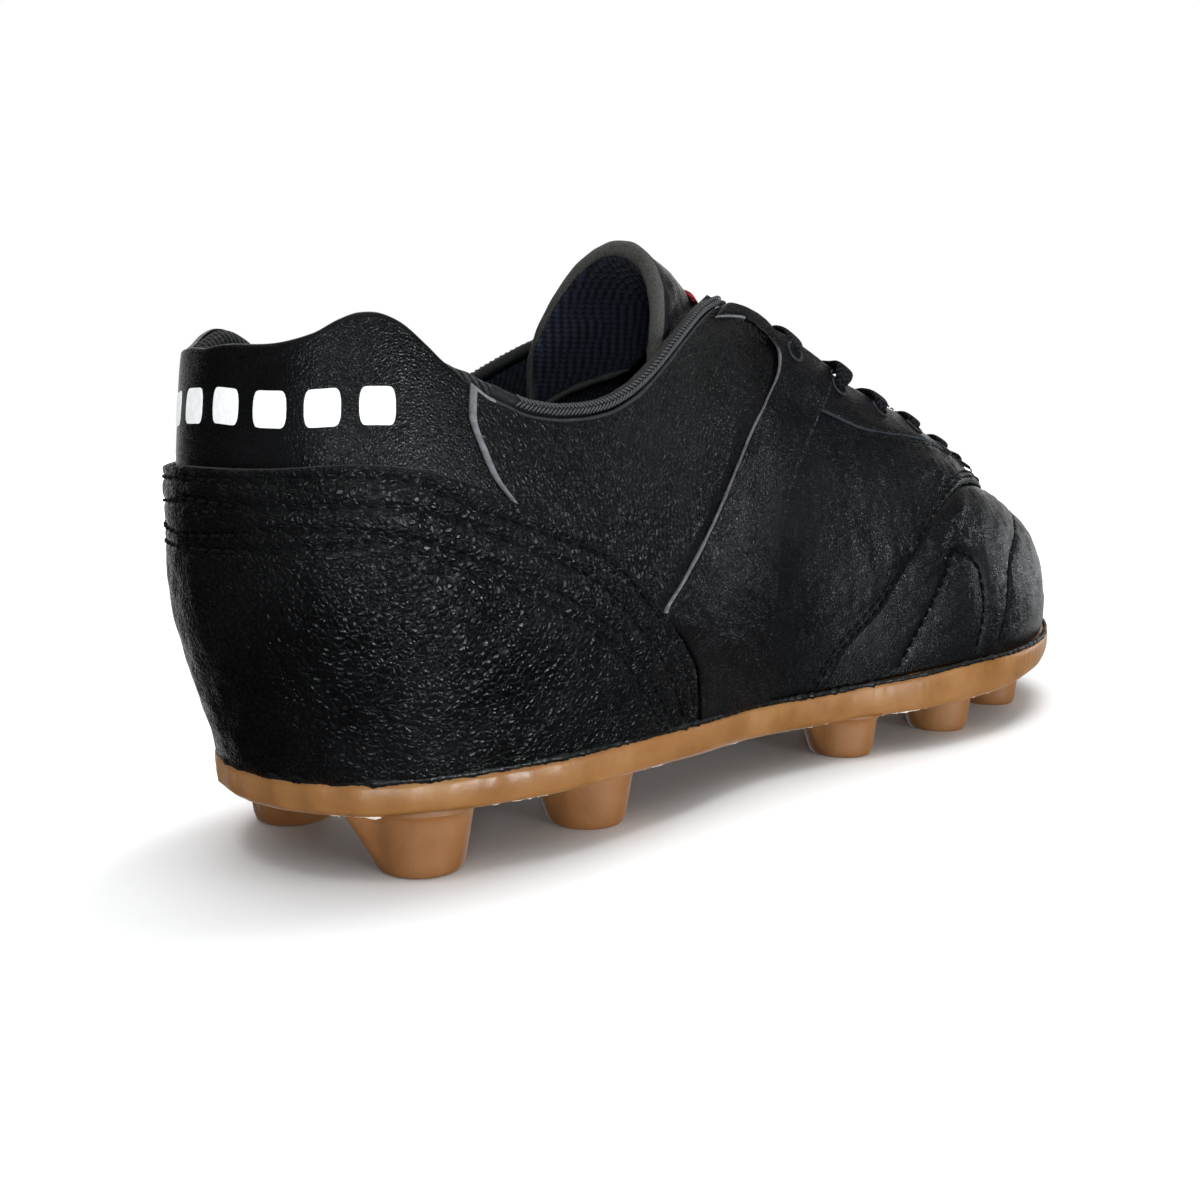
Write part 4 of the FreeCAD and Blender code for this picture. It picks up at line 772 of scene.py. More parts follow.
def tube_mesh(name, P, r, mats, k=12, body="root", flat=1.0, up=None, uvlen=False, caps=True, slot_i=0):
    """tube along points; r may vary; flat squeezes it along the given up vectors"""
    n = len(P); T = unit(np.gradient(P, axis=0)); r = np.ones(n) * r
    if up is None:
        s1 = unit(np.cross(T[0], [0, 0, 1.0])); S1 = []
        for i in range(n):
            s1 = unit(s1 - T[i] * (s1 @ T[i])); S1.append(s1)
        S1 = np.array(S1); S2 = np.cross(T, S1)
    else:
        S1 = unit(np.cross(T, up)); S2 = np.cross(S1, T)
    a = np.arange(k) * 2 * math.pi / k
    R = P[:, None] + r[:, None, None] * (np.cos(a)[None, :, None] * S1[:, None] + flat * np.sin(a)[None, :, None] * S2[:, None])
    V_ = R.reshape(-1, 3); F_ = []
    for i in range(n - 1):
        for j in range(k):
            F_.append((i * k + j, i * k + (j + 1) % k, (i + 1) * k + (j + 1) % k, (i + 1) * k + j))
    if caps:
        F_.append(tuple(range(k))[::-1]); F_.append(tuple((n - 1) * k + j for j in range(k)))
    uv = None
    if uvlen:
        s = np.concatenate([[0], np.cumsum(np.linalg.norm(np.diff(P, axis=0), axis=1))]) * .001
        uv = np.stack([np.repeat(s, k), np.tile(np.abs(((np.arange(k) / k * 2) % 2) - 1), n)], 1)
    ob = make(name, M(V_), F_, mats, uv=uv)
    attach(ob, body)
    return ob


# ============================================================ uppers
D = 1.0
for _pts in (ROW1, ROW2, ROW3, ROW4):
    for _s, _n in SIDES:
        GROOVES.append((row_on(_pts, _s, 0, 260)[0], .75, .42))

LIPSEAM = [row_on([(9.9, -.6), (10.8, -.6), (12.0, -.6)], -1, 0, 60)[0]]


def P_(name, *a, **k):
    k.setdefault("replaces", ())
    o = panel(name, *a, **k)
    return o


def sad_lift(u, v):
    return 1.02 * (1 - sstep(v_dist(u, v), 21.0, 29.0)) * sstep(fold_u(u), 5.72, 6.15)


ob = panel("heel_collar_leather", collar_region, -GAP, -GAP - .95, 150, 34, [SMOOTH, CUT], 235, 38, 1.0,
           cut=(0, 1, 0, 0), disp=lambda u, v, S: .12 * noise3(S, 22.0, 21), replaces=("collar_panel",), groove=False)


def fox_disp(u, v, S):
    return .18 * noise3(S, 20.0, 22) + .10 * noise3(S, 6.0, 23)


def mm_at(side, u, v):
    """a point of the upper's surface on one side, in metres in the row's frame"""
    uu = np.array([[u if side < 0 else NU - u]])
    return M(np.array(surf(uu, np.array([[v]])), float).reshape(-1, 3)[0])


def recolour(ob, old, new, test):
    """give the faces of one material slot another one where the test holds for their middle"""
    for f in ob.data.polygons:
        if f.material_index == old and test(f.center):
            f.material_index = new


ob = panel("heel_foxing_leather", fox_region, L2 + L1, L2, 300, 110, [FOX, CUTD, GRAIN], 250, 62, .9, cut=(0, 1, 1, 1), disp=fox_disp, replaces=("heel_foxing",))
for s, sfx in SIDES:
    E_ = lambda c: edge(s, c)
    ob = panel("quarter_leather_" + sfx, coons(E_(QBOT), E_(QTOP), E_(QLEFT), E_(QRIGHT)), L1, 0.0, 120, 110, [GRAIN, CUT], 75, 78, 1.3,
               cut=(0, 1, 1, 0), cut_rows=2, disp=wrinkle, replaces=("quarter_" + sfx,), groove=False)
    # the edge along the collar is dyed dark, the rear one is raw
    ob.data.materials.append(CUTD)
    recolour(ob, 1, len(ob.data.materials) - 1, lambda c: c[0] > mm_at(s, 2.93, .76)[0] and c[2] > mm_at(s, 3.0, .64)[2])
    ob = panel("saddle_leather_" + sfx,
               coons(E_([SADREAR[-1], (5.4, .004), SADFRONT[-1]]), E_([SADREAR[0], (5.78, .862), (6.02, -12.2), (6.25, -11.9), (6.6, -11.4), (6.98, -10.9)]), E_(SADREAR[::-1]),
                     E_([(6.98, -10.9), (6.93, .76)] + SADFRONT[1:])[::-1]),
               lambda u, v: sad_lift(u, v) + L2 + L1, lambda u, v: sad_lift(u, v) + L2, 90, 190, [VAMP, CUT], 26, 90, .85, cut=(0, 0, 1, 1), disp=wrinkle, replaces=("saddle_" + sfx,), groove=False)
    # the light cut edge ends where the saddle goes under the foxing
    recolour(ob, 1, 0, lambda c: c[2] < mm_at(s, 4.37, .35)[2])
    ob = panel("vamp_leather_" + sfx,
               coons(E_(WBOT), E_(th(TU) + SEAM), E_(WREAR), E_([(12.0, .955), (12.0, .97), (12.0, .985)])),
               L1, 0.0, 330, 120, [VAMP, CUTD], 150, 70, .9, cut=(0, 1, 0, 0), disp=quilt, replaces=("vamp_wing_" + sfx,), groove=False)
    ob = panel("eyestay_leather_" + sfx,
               coons(E_([(6.62, -26.0)] + FLOW[3:]), E_(th([6.80] + FU[2:])), E_([(6.62, -26.0), (6.76, -18.0), (6.80, -(float(throat_w(6.8))))]), E_([FLOW[-1], (9.86, -3.2), (9.74, -1.4)])),
               lambda u, v: L2 + .95 + 1.17 * sstep(fold_u(u), 6.98, 7.2) * 0, L2 - .02, 200, 34, [VAMP, CUTE], 100, 12, 1.1, cut=(1, 0, 0, 1), disp=lambda u, v, S: .10 * noise3(S, 8.0, 31), replaces=("eyestay_" + sfx,), groove=False)
    ob = panel("eyelet_stay_" + sfx + "_board",
               coons(E_([(6.15, -24.0), (7.0, -21.0), (8.0, -17.0), (9.0, -12.6), (9.4, -10.5)]), E_([(6.15, -13.2), (7.0, -12.0), (8.0, -10.2), (9.0, -8.2), (9.4, -6.4)]),
                     E_([(6.15, -24.0), (6.15, -20.0), (6.15, -13.2)]), E_([(9.4, -10.5), (9.4, -8.5), (9.4, -6.4)])),
               -.84, -1.34, 50, 12, [FLESH, FLESH], 90, 10, .4, replaces=("eyelet_stay_" + sfx,), groove=False)
    ob = panel("quarter_lining_cloth_" + sfx,
               coons(E_([(4.08, .004), (5.0, .004), (5.98, .004)]), E_([(4.08, .862), (4.4, .873), (4.75, .877), (5.41, .866), (5.75, .856), (6.0, -14.5)]),
                     E_([(4.08, .004), (4.08, .3), (4.08, .6), (4.08, .862)]), E_([(5.98, .004), (5.98, .3), (5.98, .6), (6.0, -14.5)])),
               -.46, -1.25, 50, 60, [LINING, LINING], 60, 75, .5, replaces=("quarter_lining_" + sfx,), groove=False)
    ob = panel("vamp_lining_cloth_" + sfx, vl_half(s), vl_out, lambda u, v: vl_out(u, v) - .75, 90, 50, [LINING, LINING], 200, 60, .5,
               replaces=("vamp_lining_" + sfx,), groove=False, round_a=False)

ob = panel("toe_leather", toe_region, -GAP, -GAP - LEA, 420, 110, [VAMP, CUTD], 330, 60, .9, cut=(0, 0, 0, 0), disp=quilt, replaces=("toe_vamp",), groove=False)
ob = panel("collar_lining_cloth", lin_region, lining_out, lambda u, v: lining_out(u, v) - .9, 150, 80, [LINING, LINING], 210, 80, .6,
           disp=lambda u, v, S: -.35 * np.clip(noise3(S, 16.0, 41), -1, 1) * sstep(pad_h(u, v), .3, 2.0), replaces=("collar_lining", "collar_foam"), groove=False)

ob = panel("heel_counter_board", lambda a, b: mirror_band(a, b, lambda w, t: (w * (3.98 - .7 * t ** 2), .01 + .53 * t)), -GAP, -GAP - 1.2, 80, 24,
           [FLESH, FLESH], 190, 50, .4, replaces=("heel_stiffener",), groove=False)
ob = panel("toe_puff_board", lambda a, b: (lambda u: np.stack([u[:, None] * np.ones((1, len(b))), .004 + (.30 + .34 * sstep(fold_u(u), 10.9, 12.6))[:, None] * b[None]], -1))(10.9 + (NU - 21.8) * a),
           -1.80, -2.40, 90, 24, [FLESH, FLESH], 120, 30, .4, replaces=("toe_puff",), groove=False)

# collar edge: rolled binding with overlock stitches
def above_edge(u, dz, inw=.5):
    v = vcol(u); p = surf(u, v); q = surf(u, v - .03); d = unit(p - q)
    return p + d * np.asarray(dz)[..., None] - normal(u, v) * np.asarray(inw)[..., None]


ub = np.linspace(-5.92, 5.92, 700)
kb = 1 - sstep(np.abs(ub), 2.25, 3.0)                       # 1 round the heel, where the knit rolls over inside the leather
Pb = above_edge(ub, 1.65 - 3.8 * kb, .75 + 1.7 * kb); Nb = normal(ub, vcol(ub))
Pb = Pb + Nb * (.10 * noise3(Pb, 9.0, 51))[:, None]
rb = (1.35 + .70 * kb) * (1 + .05 * noise3(Pb, 6.0, 52)) * (1 - .55 * sstep(np.abs(ub), 5.6, 5.92))
def part_of(lo_, hi_):
    return np.where((ub >= lo_) & (ub <= hi_))[0]


k_ = part_of(-2.95, 2.95); ob = tube_mesh("collar_heel_roll", Pb[k_], rb[k_], [ROLL], 20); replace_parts(ob, "topline_binding")
for nm_, lo_, hi_ in (("medial", 2.9, 5.95), ("lateral", -5.95, -2.9)):
    k_ = part_of(lo_, hi_); ob = tube_mesh("collar_binding_" + nm_, Pb[k_], rb[k_] * 1.02, [TOPL], 16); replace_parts(ob, "topline_binding")
# short slanting overlock stitches over the lower edge of the binding
def overlock(name, mat, u0, u1, n, dz0, dz1, hgt, skew, r):
    V_, F_ = [], []; base = 0; K = 5
    for sg in (-1, 1):
        uu = np.linspace(u0, u1, n) * sg; du = (uu[1] - uu[0])
        for i in range(n):
            t = np.linspace(0, 1, 5); u_ = uu[i] + du * skew * (t - .5); dz = dz0 + (dz1 - dz0) * t
            v = vcol(u_); p = surf(u_, v); d = unit(p - surf(u_, v - .03)); nn = normal(u_, v)
            q = p + d * dz[:, None] + nn * (hgt + .22 * np.sin(math.pi * t))[:, None]
            tg = unit(np.gradient(q, axis=0)); bn = unit(np.cross(tg, nn)); n2 = np.cross(bn, tg)
            rad = r * np.array([.5, .95, 1, .95, .5])
            for j in range(5):
                a = np.arange(K) * 2 * math.pi / K
                V_.append(q[j] + rad[j] * (np.cos(a)[:, None] * bn[j] + np.sin(a)[:, None] * n2[j]))
            for j in range(4):
                for k in range(K):
                    F_.append((base + j * K + k, base + j * K + (k + 1) % K, base + (j + 1) * K + (k + 1) % K, base + (j + 1) * K + k))
            F_.append(tuple(base + k for k in range(K))[::-1]); F_.append(tuple(base + 4 * K + k for k in range(K)))
            base += 5 * K
    o = make(name, M(np.concatenate(V_)), F_, [mat]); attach(o, "root"); return o


overlock("collar_overlock_stitch_a", THREADG, 3.15, 5.75, 70, .55, 1.75, .66, 1.5, .24)
overlock("collar_overlock_stitch_b", THREADG, 3.17, 5.77, 70, 1.75, 2.75, .62, -1.5, .24)

# plain printed dashes round the heel
us_ = np.linspace(-1.95, 2.2, 900); LC = surf(us_, np.full(900, .785)); sL_ = np.concatenate([[0], np.cumsum(np.linalg.norm(np.diff(LC, axis=0), axis=1))])
V_, F_ = [], []; base = 0; pos = 4.4
while pos + 6.6 < sL_[-1]:
    na, nb_ = 26, 12; ta = np.linspace(-1, 1, na); tb = np.linspace(-1, 1, nb_)
    A_, B_ = np.meshgrid(ta, tb, indexing="ij")
    # rounded ends
    xx = A_ * np.sqrt(np.clip(1 - (.22 * np.abs(B_) ** 3), 0, 1)); su = pos + 3.3 + 3.1 * xx; uu = np.interp(su, sL_, us_)
    vv = .785 - .026 * np.clip(np.abs(uu) - .3, 0, None) + B_ * .036 * np.sqrt(np.clip(1 - .30 * np.abs(A_) ** 10, 0, 1))
    Pp = surf(uu, vv); Nn_ = normal(uu, vv); rim = np.minimum(1 - np.abs(A_), 1 - np.abs(B_)).clip(0, .12) / .12
    Q_ = Pp + Nn_ * (-GAP + .02 + .12 * np.sqrt(rim) + .12 * noise3(Pp, 22.0, 21))[..., None]
    V_.append(Q_.reshape(-1, 3))
    for i in range(na - 1):
        for j in range(nb_ - 1): F_.append((base + i * nb_ + j, base + (i + 1) * nb_ + j, base + (i + 1) * nb_ + j + 1, base + i * nb_ + j + 1))
    base += na * nb_; pos += 9.2
ob = make("heel_printed_dashes", M(np.concatenate(V_)), F_, [WHITE]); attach(ob, "root")

# ============================================================ stitch rows
def both(pts, h): return [row_on(pts, s, h) for s, _ in SIDES]


ob = stitches("foxing_stitches", both(ROW1, L2 + L1 - .16) + both(ROW2, L2 + L1 - .16) + both(ROW3, L2 + L1 - .16) + both(ROW4, L2 + L1 - .16), THREAD, 3.1, 2.2, .27, lift=-.14)
sl = []
for s, _ in SIDES:
    sg = 1 if s < 0 else -1
    sl.append(shifted(FLOW[3:], s, -1.9 * sg, L2 + .95 - .08)); sl.append(shifted(th(FU[3:]), s, 1.9 * sg, L2 + .95 - .08))
ob = stitches("eyestay_stitches", sl, THREAD, 2.4, 1.7, .20, lift=.04)
sl = []
for s, _ in SIDES:
    sg = 1 if s < 0 else -1
    sl.append(shifted(LOBE, s, 1.5 * sg, L1 + .05)); sl.append(shifted(LOBE, s, 3.1 * sg, L1 + .05))
    for pts in (ARCH_IN, ARCH_OUT):
        e = row_on(pts, s, (L1 - .3 if pts is ARCH_IN and False else -.45))
        sl.append(e)
sl.append(row_on(MIDSEAM, -1, .45))
ob = stitches("vamp_stitches", sl, THREAD, 3.0, 2.2, .30, lift=.05)

# ============================================================ tongue
TTOP = -3.3
TW_ = lambda um: pch([5.9, 6.5, 8.0, 9.0, 9.5], [20.0, 19.5, 16.0, 12.0, 9.0], um)
FT = [0.0, .3, .5, .75, 1.0]; FLAP_W = [4.3, 8.6, 11.9, 16.6, 20.6]; FLAP_C = [-5.6, -5.4, -4.6, -3.2, -1.6]; FLAP_D = [.8, 6.5, 11.5, 18.0, 26.0]
HINGE = np.array([117.0, -10.0, 104.6])


def flap_mid(t, e):
    w, c, d = pch(FT, FLAP_W, t), pch(FT, FLAP_C, t), pch(FT, FLAP_D, t)
    ex = np.maximum(np.abs(e) - 1.0, 0.0); sg = np.sign(e); e = np.clip(e, -1.0, 1.0)
    a = e * math.radians(84); k = math.sin(math.radians(84))
    x = 111.6 - 18.6 * t - 8.0 * t * e * e + 3.0 * ex
    y = c + w * np.sin(a) / k + sg * ex * 2.0 * np.minimum(t * 3, 1)
    z = 107.9 + 13.5 * t + .8 * np.sin(math.pi * t) - d * (1 - np.cos(a)) / (1 - math.cos(math.radians(84))) - 26.0 * ex * sstep(t, .0, .35)
    return np.stack([x, y, z], -1)


def throat_row(um, m, wide):
    """tongue row under the throat: columns across from medial to lateral"""
    c = np.linspace(-1, 1, m); cc = np.array([-1.0, -.68, -.36, .36, .68, 1.0])
    w = float(TW_(um)) * wide; d = w * cc; u = np.where(d < 0, um, NU - um)
    P = off(u, dist_v(u, np.abs(d)), TTOP * np.ones(6))
    from_c = np.stack([np.interp(c, cc, P[:, k]) for k in range(3)], 1)
    # smooth natural spline through the six columns
    n = 6; A = np.eye(n); Bm = np.zeros((n, 3)); h = np.diff(cc)
    for i in range(1, n - 1):
        A[i, i - 1] = h[i - 1]; A[i, i] = 2 * (h[i - 1] + h[i]); A[i, i + 1] = h[i]
        Bm[i] = 6 * ((P[i + 1] - P[i]) / h[i] - (P[i] - P[i - 1]) / h[i - 1])
    Mm = np.linalg.solve(A, Bm)
    i = np.clip(np.searchsorted(cc, c, side="right") - 1, 0, n - 2); x0 = cc[i]; x1 = cc[i + 1]; hh = (x1 - x0)[:, None]
    a = ((x1 - c) / (x1 - x0))[:, None]; b = ((c - x0) / (x1 - x0))[:, None]
    return a * P[i] + b * P[i + 1] + ((a**3 - a) * Mm[i] + (b**3 - b) * Mm[i + 1]) * hh**2 / 6


def tongue_sheet(mcols=81, wide=1.0):
    rows_ = []
    for um in np.linspace(9.35, 6.25, 60):
        rows_.append(throat_row(um, mcols, wide))
    c = np.linspace(-1, 1, mcols)
    low = np.array(rows_)
    ce = c * (1.0 + .44 * sstep(c, .55, 1.0) + .18 * sstep(-c, .55, 1.0))
    fl = np.array([flap_mid(np.full(mcols, t), ce) for t in np.linspace(.05, 1.0, 46)])
    # bridge between the last throat row and the first flap row, smooth
    a0, a1, b0, b1 = low[-4], low[-1], fl[0], fl[3]
    br = []
    for k in range(1, 12):
        t = k / 12.0
        h00, h10, h01, h11 = 2 * t**3 - 3 * t**2 + 1, t**3 - 2 * t**2 + t, -2 * t**3 + 3 * t**2, t**3 - t**2
        ta = (a1 - a0) * 1.4; tb = (b1 - b0) * 1.4
        br.append(h00 * a1 + h10 * ta + h01 * b0 + h11 * tb)
    return np.concatenate([low, np.array(br), fl]), len(low), len(low) + len(br)


TS, i_thr, i_fl = tongue_sheet()
def sheet_normals(G):
    a = np.gradient(G, axis=0); b = np.gradient(G, axis=1); n = unit(np.cross(b, a))
    n = np.where(n[..., 2:3] < 0, -n, n) if n[..., 2].mean() < 0 and False else n
    if n[len(G) // 2, G.shape[1] // 2, 2] < 0: n = -n
    for _ in range(3):
        p = np.pad(n, ((1, 1), (1, 1), (0, 0)), mode="edge")
        n = unit(4 * n + p[2:, 1:-1] + p[:-2, 1:-1] + p[1:-1, 2:] + p[1:-1, :-2])
    return n


TN = sheet_normals(TS)
nr, nc = TS.shape[:2]
I_, J_ = np.meshgrid(np.arange(nr), np.arange(nc), indexing="ij")
edge_d = np.minimum(np.minimum(J_, nc - 1 - J_) / 4.0, np.minimum((nr - 1 - I_) / 4.0, I_ / 4.0)).clip(0, 1)
round_e = np.sqrt(1 - (1 - edge_d) ** 2)
ftz = sstep(I_, i_thr - 4, i_fl + 6)          # 0 under the lacing, 1 on the free flap
thick = 4.6 * (1 - ftz) + 4.1 * ftz
fold = .35 * noise3(TS, 13.0, 61) * ftz + .12 * noise3(TS, 6.0, 62)
OUT = TS + TN * (-1.6 * (1 - round_e) + fold * round_e * .8)[..., None]
INN = TS - TN * (thick * (.45 + .55 * round_e) + .35 * np.abs(noise3(TS, 9.0, 63)) * ftz * round_e)[..., None]
ob = grid_shell("tongue", OUT, INN, [VAMP, LINING], cut=(1, 1, 1, 1), cut_slot=1, in_slot=1)
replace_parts(ob, "tongue_leather", "tongue_foam", "tongue_lining", "flap_leather", "flap_foam", "flap_lining")
TONGUE = [ob]

# folded binding along the free edge of the flap
side0 = [(i, 0) for i in range(i_fl + 14, nr)]; rear = [(nr - 1, j) for j in range(1, nc - 1)]; side1 = [(i, nc - 1) for i in range(nr - 1, i_fl + 13, -1)]
idx_ = side0 + rear + side1
Pe = np.array([(OUT[i, j] + INN[i, j]) / 2 for i, j in idx_]); Ne = np.array([TN[i, j] for i, j in idx_])
for _ in range(10):
    Pe[1:-1] = .25 * Pe[:-2] + .5 * Pe[1:-1] + .25 * Pe[2:]; Ne[1:-1] = unit(.25 * Ne[:-2] + .5 * Ne[1:-1] + .25 * Ne[2:])
sL = np.concatenate([[0], np.cumsum(np.linalg.norm(np.diff(Pe, axis=0), axis=1))]); tq = np.linspace(0, sL[-1], 260)
Pe = np.stack([np.interp(tq, sL, Pe[:, k]) for k in range(3)], 1); Ne = unit(np.stack([np.interp(tq, sL, Ne[:, k]) for k in range(3)], 1))
wid = 1.0 * (1 + .09 * noise3(Pe, 8.0, 71)) * np.clip(np.minimum(np.arange(260), 259 - np.arange(260)) / 14.0 + .35, .35, 1)
ob = tube_mesh("tongue_edge_binding", Pe, wid, [BIND], 14, body="tongue_flap", flat=1.85, up=Ne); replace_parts(ob, "tongue_flap") if False else None
BINDING = ob

# ============================================================ outsole
def outline(n, inset=0.0):
    """closed plan outline, counter-clockwise from the heel along the medial side; points and unit inward normals"""
    out = []
    a = np.linspace(0, math.pi, n // 2 + 1); x = 141.0 * (1 - np.cos(a))
    med = np.stack([x, -plan(-1, x) + shift(x)], 1); lat = np.stack([x, plan(1, x) + shift(x)], 1)
    P = np.concatenate([med, lat[::-1][1:-1]])
    s = np.concatenate([[0], np.cumsum(np.linalg.norm(np.diff(np.concatenate([P, P[:1]]), axis=0), axis=1))])
    t = np.linspace(0, s[-1], n, endpoint=False); Q = np.concatenate([P, P[:1]])
    P = np.stack([np.interp(t, s, Q[:, k]) for k in range(2)], 1)
    for _ in range(4): P = .25 * np.roll(P, 1, 0) + .5 * P + .25 * np.roll(P, -1, 0)
    T = np.roll(P, -1, 0) - np.roll(P, 1, 0); T /= np.linalg.norm(T, axis=1)[:, None]
    Nn = np.stack([-T[:, 1], T[:, 0]], 1)
    return P, Nn, t


NO = 720
OP, ON, OS = outline(NO)
CX = np.clip(OP[:, 0], 16, 262); CY = shift(CX) + (plan(1, CX) - plan(-1, CX)) / 2 * .5
rg = np.random.default_rng(11)


def wav(n, scale, seed):
    """periodic smooth noise along the outline"""
    r = np.random.default_rng(seed); t = np.arange(n) / n * 2 * math.pi; o = np.zeros(n); c = int(OS[-1] / scale)
    for k in range(1, 3 * c):
        o += r.normal() * np.cos(k * t + r.random() * 6.28) / math.sqrt(c * 3) * (1 if k > c // 2 else .5)
    return o


ribs = sstep(-OP[:, 0], -46, -30) * .22 * np.sin(OS / 7.5 * 2 * math.pi)       # faint upright ribs round the heel
zf_, zb_ = zfeath(OP[:, 0]), zbot(OP[:, 0])
PROF = [(5.0, 'f', .30), (2.2, 'f', .25), (.5, 'f', .12), (-.35, 'f', -.35), (-.62, 'f', -1.0), (-.60, 'm', .45), (-.35, 'm', .75), (.15, 'b', 1.0), (.9, 'b', .35), (2.0, 'b', .02),
        (3.6, 'b', .0)]
PW = 1.35 + .75 * (1 - sstep(OP[:, 0], 80, 125))       # how far the plate stands out past the feather line
rings = []
th_ = zf_ - zb_
for ins, ref, dz in PROF:
    if ref == 'f': z = zf_ + dz
    elif ref == 'm': z = zf_ - th_ * dz
    else: z = zb_ + dz
    k = 1.0 if ref == 'm' or ins < 0 else .4
    q = OP + ON * (ins - ribs * k + .05 * wav(NO, 6, 3) * k - PW * (1.0 if ins < 4 else .2))[:, None]
    rings.append(np.concatenate([q, z[:, None]], 1))
base_in = OP + ON * (3.6 - PW)[:, None]
for f in (.10, .22, .36, .52, .70, .86, .97):
    q = base_in * (1 - f) + np.stack([CX, CY], 1) * f
    # waisted arch between heel and forefoot with a raised middle rib
    zz = zbot(q[:, 0]) + .0 * q[:, 0]
    d = np.abs(q[:, 1] - (shift(q[:, 0]) + .5))
    rib = -1.3 * np.exp(-(d / 5.5) ** 2) * sstep(q[:, 0], 34, 60) * (1 - sstep(q[:, 0], 132, 165))
    rings.append(np.concatenate([q, (zz + rib)[:, None]], 1))
R = np.array(rings); nR = len(R); F_ = []
for i in range(nR - 1):
    for j in range(NO):
        j2 = (j + 1) % NO
        F_.append((i * NO + j, i * NO + j2, (i + 1) * NO + j2, (i + 1) * NO + j))
# last ring closes on itself across the middle line
h = NO // 2
for j in range(h):
    a, b = j, (j + 1)
    c, d = (NO - j - 1) % NO, (NO - j) % NO
    F_.append(((nR - 1) * NO + a, (nR - 1) * NO + b, (nR - 1) * NO + c, (nR - 1) * NO + d))
# top closes the same way, under the board
for j in range(h):
    a, b = j, (j + 1)
    c, d = (NO - j - 1) % NO, (NO - j) % NO
    F_.append((d, c, b, a))
ob = make("outsole_gum", M(R.reshape(-1, 3)), F_, [GUM]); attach(ob, "root"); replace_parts(ob, "outsole_plate")

# black cement squeezed out along the feather line
nn_ = 1400; tt = np.linspace(0, 1, nn_, endpoint=False)
gi = np.interp(tt * OS[-1] * NO / (NO - 1), OS, np.arange(NO)) % NO
def per(A, x):
    i = np.floor(x).astype(int) % NO; f = (x - np.floor(x))
    f = f[:, None] if A.ndim > 1 else f
    return A[i] * (1 - f) + A[(i + 1) % NO] * f


gp, gn = per(OP - ON * (PW - .15)[:, None], gi), per(ON, gi); rr = np.random.default_rng(5); K = 8; V_ = []; F_ = []
amp = np.abs(np.convolve(rr.normal(size=nn_ + 10), np.ones(5) / 5, "same")[:nn_]) + .25 * np.abs(rr.normal(size=nn_))
amp[-20:] = amp[-20:] * np.linspace(1, 0, 20) + amp[0] * np.linspace(0, 1, 20)
for i in range(nn_):
    r1 = .55 + .50 * amp[i]; z = float(zfeath(gp[i, 0])) + .22
    for k in range(K):
        a = 2 * math.pi * k / K; dn = math.sin(a)
        V_.append((gp[i, 0] - gn[i, 0] * (.02 + r1 * math.cos(a) * .62), gp[i, 1] - gn[i, 1] * (.02 + r1 * math.cos(a) * .62), z + (r1 * dn * (.9 if dn > 0 else 1.05) * .9)))
for i in range(nn_):
    for k in range(K):
        F_.append((i * K + k, i * K + (k + 1) % K, ((i + 1) % nn_) * K + (k + 1) % K, ((i + 1) % nn_) * K + k))
ob = make("feather_line_cement", M(np.array(V_)), F_, [PAINT]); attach(ob, "root")

# thin pale moulding flash under the plate edge
V_, F_ = [], []; K = 6; amp2 = np.abs(np.convolve(rr.normal(size=nn_ + 40), np.ones(9) / 9, "same")[:nn_])
for i in range(nn_):
    r1 = .22 + .55 * amp2[i] + .14 * rr.random(); z = float(zbot(gp[i, 0])) - .02; ins = 3.2 + .5 * math.sin(i * .09)
    for k in range(K):
        a = 2 * math.pi * k / K
        V_.append((gp[i, 0] + gn[i, 0] * (ins + r1 * math.cos(a)), gp[i, 1] + gn[i, 1] * (ins + r1 * math.cos(a)), z + r1 * math.sin(a) * .9))
for i in range(nn_):
    for k in range(K):
        F_.append((i * K + k, i * K + (k + 1) % K, ((i + 1) % nn_) * K + (k + 1) % K, ((i + 1) % nn_) * K + k))
ob = make("moulding_flash", M(np.array(V_)), F_, [FLASH]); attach(ob, "root")

STUDS = [("stud_heel_medial", 21, -22.5, "heel"), ("stud_heel_lateral", 21, 20, "heel"), ("stud_waist_medial", 62.5, -23.5, "heel"), ("stud_waist_lateral", 64, 23, "heel"),
         ("stud_ball_medial", 149, -27.5, "fore"), ("stud_ball_lateral", 146, 31, "fore"), ("stud_mid_medial", 192, -30, "fore"), ("stud_mid_lateral", 190, 36, "fore"),
         ("stud_front_lateral", 229, 29, "fore"), ("stud_centre_rear", 170, 2, "toe"), ("stud_front_medial", 234, -23, "fore"), ("stud_toe", 258, 2, "toe")]
RAD = {"heel": (7.9, 10.4), "fore": (7.7, 9.6), "toe": (6.6, 8.4)}


